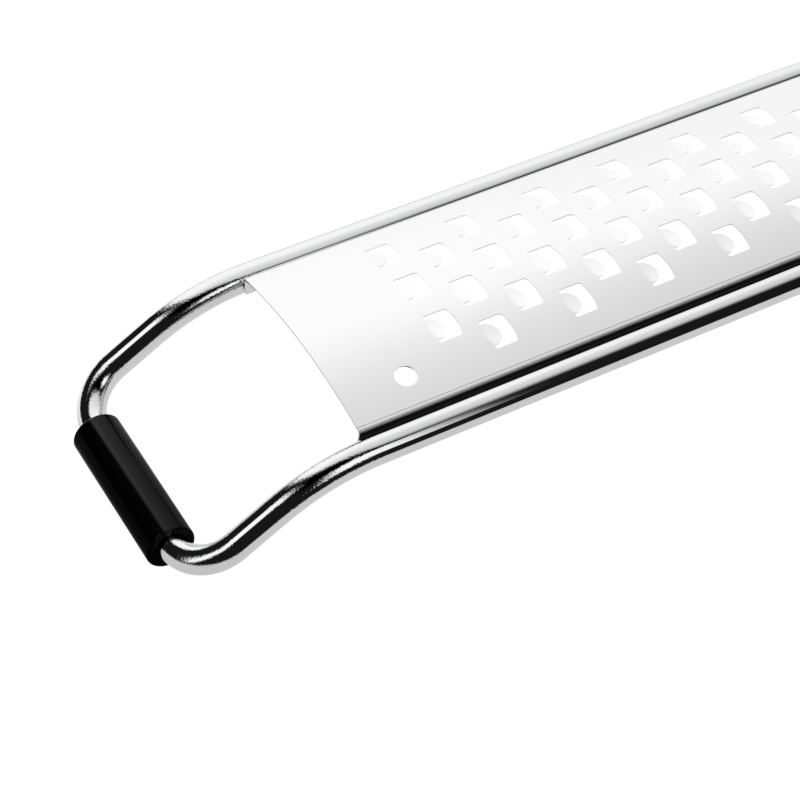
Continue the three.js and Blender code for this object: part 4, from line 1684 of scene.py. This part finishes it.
@dataclass
class Studio:
    """A pale floor, soft panels of light and the camera."""

    floor_size: float = 6
    floor_drop: float = 0.0001
    floor_color: Color = (0.8, 0.8, 0.8)
    floor_white: float = 1.22
    floor_share: float = 0.85
    mirrored_share: Plan = (0.55, 0.95)
    mirrored_rise: Plan = (0.032, 0.05)
    mirrored_front: Plan = (-0.1, -0.13)
    dark: float = 0.012
    softbox: Softbox = Softbox()
    panels: Sequence[LightPanel] = (
        LightPanel(over=(3, 30), side=(-4, 62), level=1.36, soft=(2.5, 2.5)),
        LightPanel(over=(63, 98), side=(-80, -26), level=1.4, soft=(4, 4)),
        LightPanel(over=(116.5, 155), side=(-2, 23.8), level=1.38, soft=(3, 2.2)),
        LightPanel(over=(-10, 190), side=(52, 100), level=0.4, soft=(5, 6)),
    )
    camera_place: Sequence[float] = (-0.27376, -0.29381, 0.37848)
    camera_ahead: Sequence[float] = (0.33538, 0.57486, -0.74636)
    camera_right: Sequence[float] = (0.8657, -0.50054, 0.00348)
    lens: float = 104.65
    sensor: float = 36

    def floor_shares(self, sketch: MaterialSketch) -> tuple[bpy.types.NodeSocket, bpy.types.NodeSocket]:
        """Says how the floor looks straight on, in a mirror or through glass.

        Args:
            sketch: The floor's material.

        Returns:
            How white the floor is, and how far it is lost in front of the table when it is mirrored.
        """
        path = sketch.add("ShaderNodeLightPath")
        mirrored = sketch.math(
            "MAXIMUM", path.outputs["Is Glossy Ray"], path.outputs["Is Transmission Ray"]
        )
        _, y, _ = sketch.add("ShaderNodeSeparateXYZ", {0: sketch.place}).outputs
        lost = sketch.math("MULTIPLY", mirrored, sketch.ramp(y, *self.mirrored_front))
        behind = sketch.span(sketch.ramp(y, *self.mirrored_rise), *self.mirrored_share)
        mirrored = sketch.math("MULTIPLY", mirrored, behind)
        straight = sketch.math("MULTIPLY", path.outputs["Is Camera Ray"], self.floor_share)
        return sketch.math("MAXIMUM", straight, mirrored), lost

    def floor(self) -> bpy.types.Object:
        """Builds the pale floor, a hair under the grater's feet."""
        half = self.floor_size / 2
        plan = [(-half, -half), (half, -half), (half, half), (-half, half)]
        mesh = mesh_from("floor", [(x, y, -self.floor_drop) for x, y in plan], [(0, 1, 2, 3)])
        sketch = MaterialSketch("pale_floor")
        matt = sketch.add("ShaderNodeBsdfDiffuse", {"Color": (*self.floor_color, 1)})
        white = sketch.add("ShaderNodeEmission", {"Strength": self.floor_white})
        share, lost = self.floor_shares(sketch)
        mixed = sketch.add("ShaderNodeMixShader", {0: share, 1: matt.outputs[0], 2: white.outputs[0]})
        unlit = sketch.add("ShaderNodeEmission", {"Strength": self.dark})
        mixed = sketch.add("ShaderNodeMixShader", {0: lost, 1: mixed.outputs[0], 2: unlit.outputs[0]})
        sketch.show(mixed)
        mesh.materials.append(sketch.material)
        floor = add_object("floor", mesh)
        return floor

    def world(self) -> bpy.types.World:
        """Builds the panels of light, with white behind the object for the camera."""
        world = bpy.data.worlds.new("studio")
        world.use_nodes = True
        sketch = NodeSketch(world.node_tree)
        direction = sketch.add("ShaderNodeTexCoord").outputs["Generated"]
        x, y, z = sketch.add("ShaderNodeSeparateXYZ", {0: direction}).outputs
        over = sketch.math("DEGREES", sketch.math("ARCTAN2", z, y))
        side = sketch.math("DEGREES", sketch.math("ARCSINE", x))
        light = self.dark
        for panel in self.panels:
            light = sketch.math("ADD", panel.strength(sketch, over, side), light)
        seen = sketch.add("ShaderNodeLightPath").outputs["Is Camera Ray"]
        level = sketch.add("ShaderNodeMix", {"Factor": seen, "A": light, "B": 1.0}).outputs[0]
        sketch.tree.links.new(level, sketch.tree.nodes["Background"].inputs["Strength"])
        sketch.tree.nodes["Background"].inputs["Color"].default_value = (1, 1, 1, 1)
        bpy.context.scene.world = world
        return world

    def camera(self) -> bpy.types.Object:
        """Sets up the camera where the photographer stood."""
        data = bpy.data.cameras.new("camera")
        data.sensor_width = self.sensor
        data.lens = self.lens
        ahead, right = Vector(self.camera_ahead).normalized(), Vector(self.camera_right).normalized()
        up = right.cross(ahead)
        turn = Matrix((right, up, -ahead)).transposed().to_4x4()
        camera = bpy.data.objects.new("camera", data)
        camera.matrix_world = Matrix.Translation(self.camera_place) @ turn
        bpy.context.scene.collection.objects.link(camera)
        bpy.context.scene.camera = camera
        return camera

    def build(self) -> None:
        """Sets up the whole studio."""
        self.floor()
        self.softbox.build()
        self.world()
        self.camera()
        bpy.context.scene.view_settings.view_transform = "Standard"


def main() -> None:
    """Builds the grater's pieces and its studio, and logs how many faces each new piece has."""
    logging.basicConfig(level=logging.INFO, format="%(name)s: %(message)s")
    Studio().build()
    wire = WireFrame()
    wire.build()
    GratingPlate().build()
    NoseSleeve().build()
    Handle(start=wire.handle_start, tail_y=wire.tail_y).build()


if __name__ == "__main__":
    main()
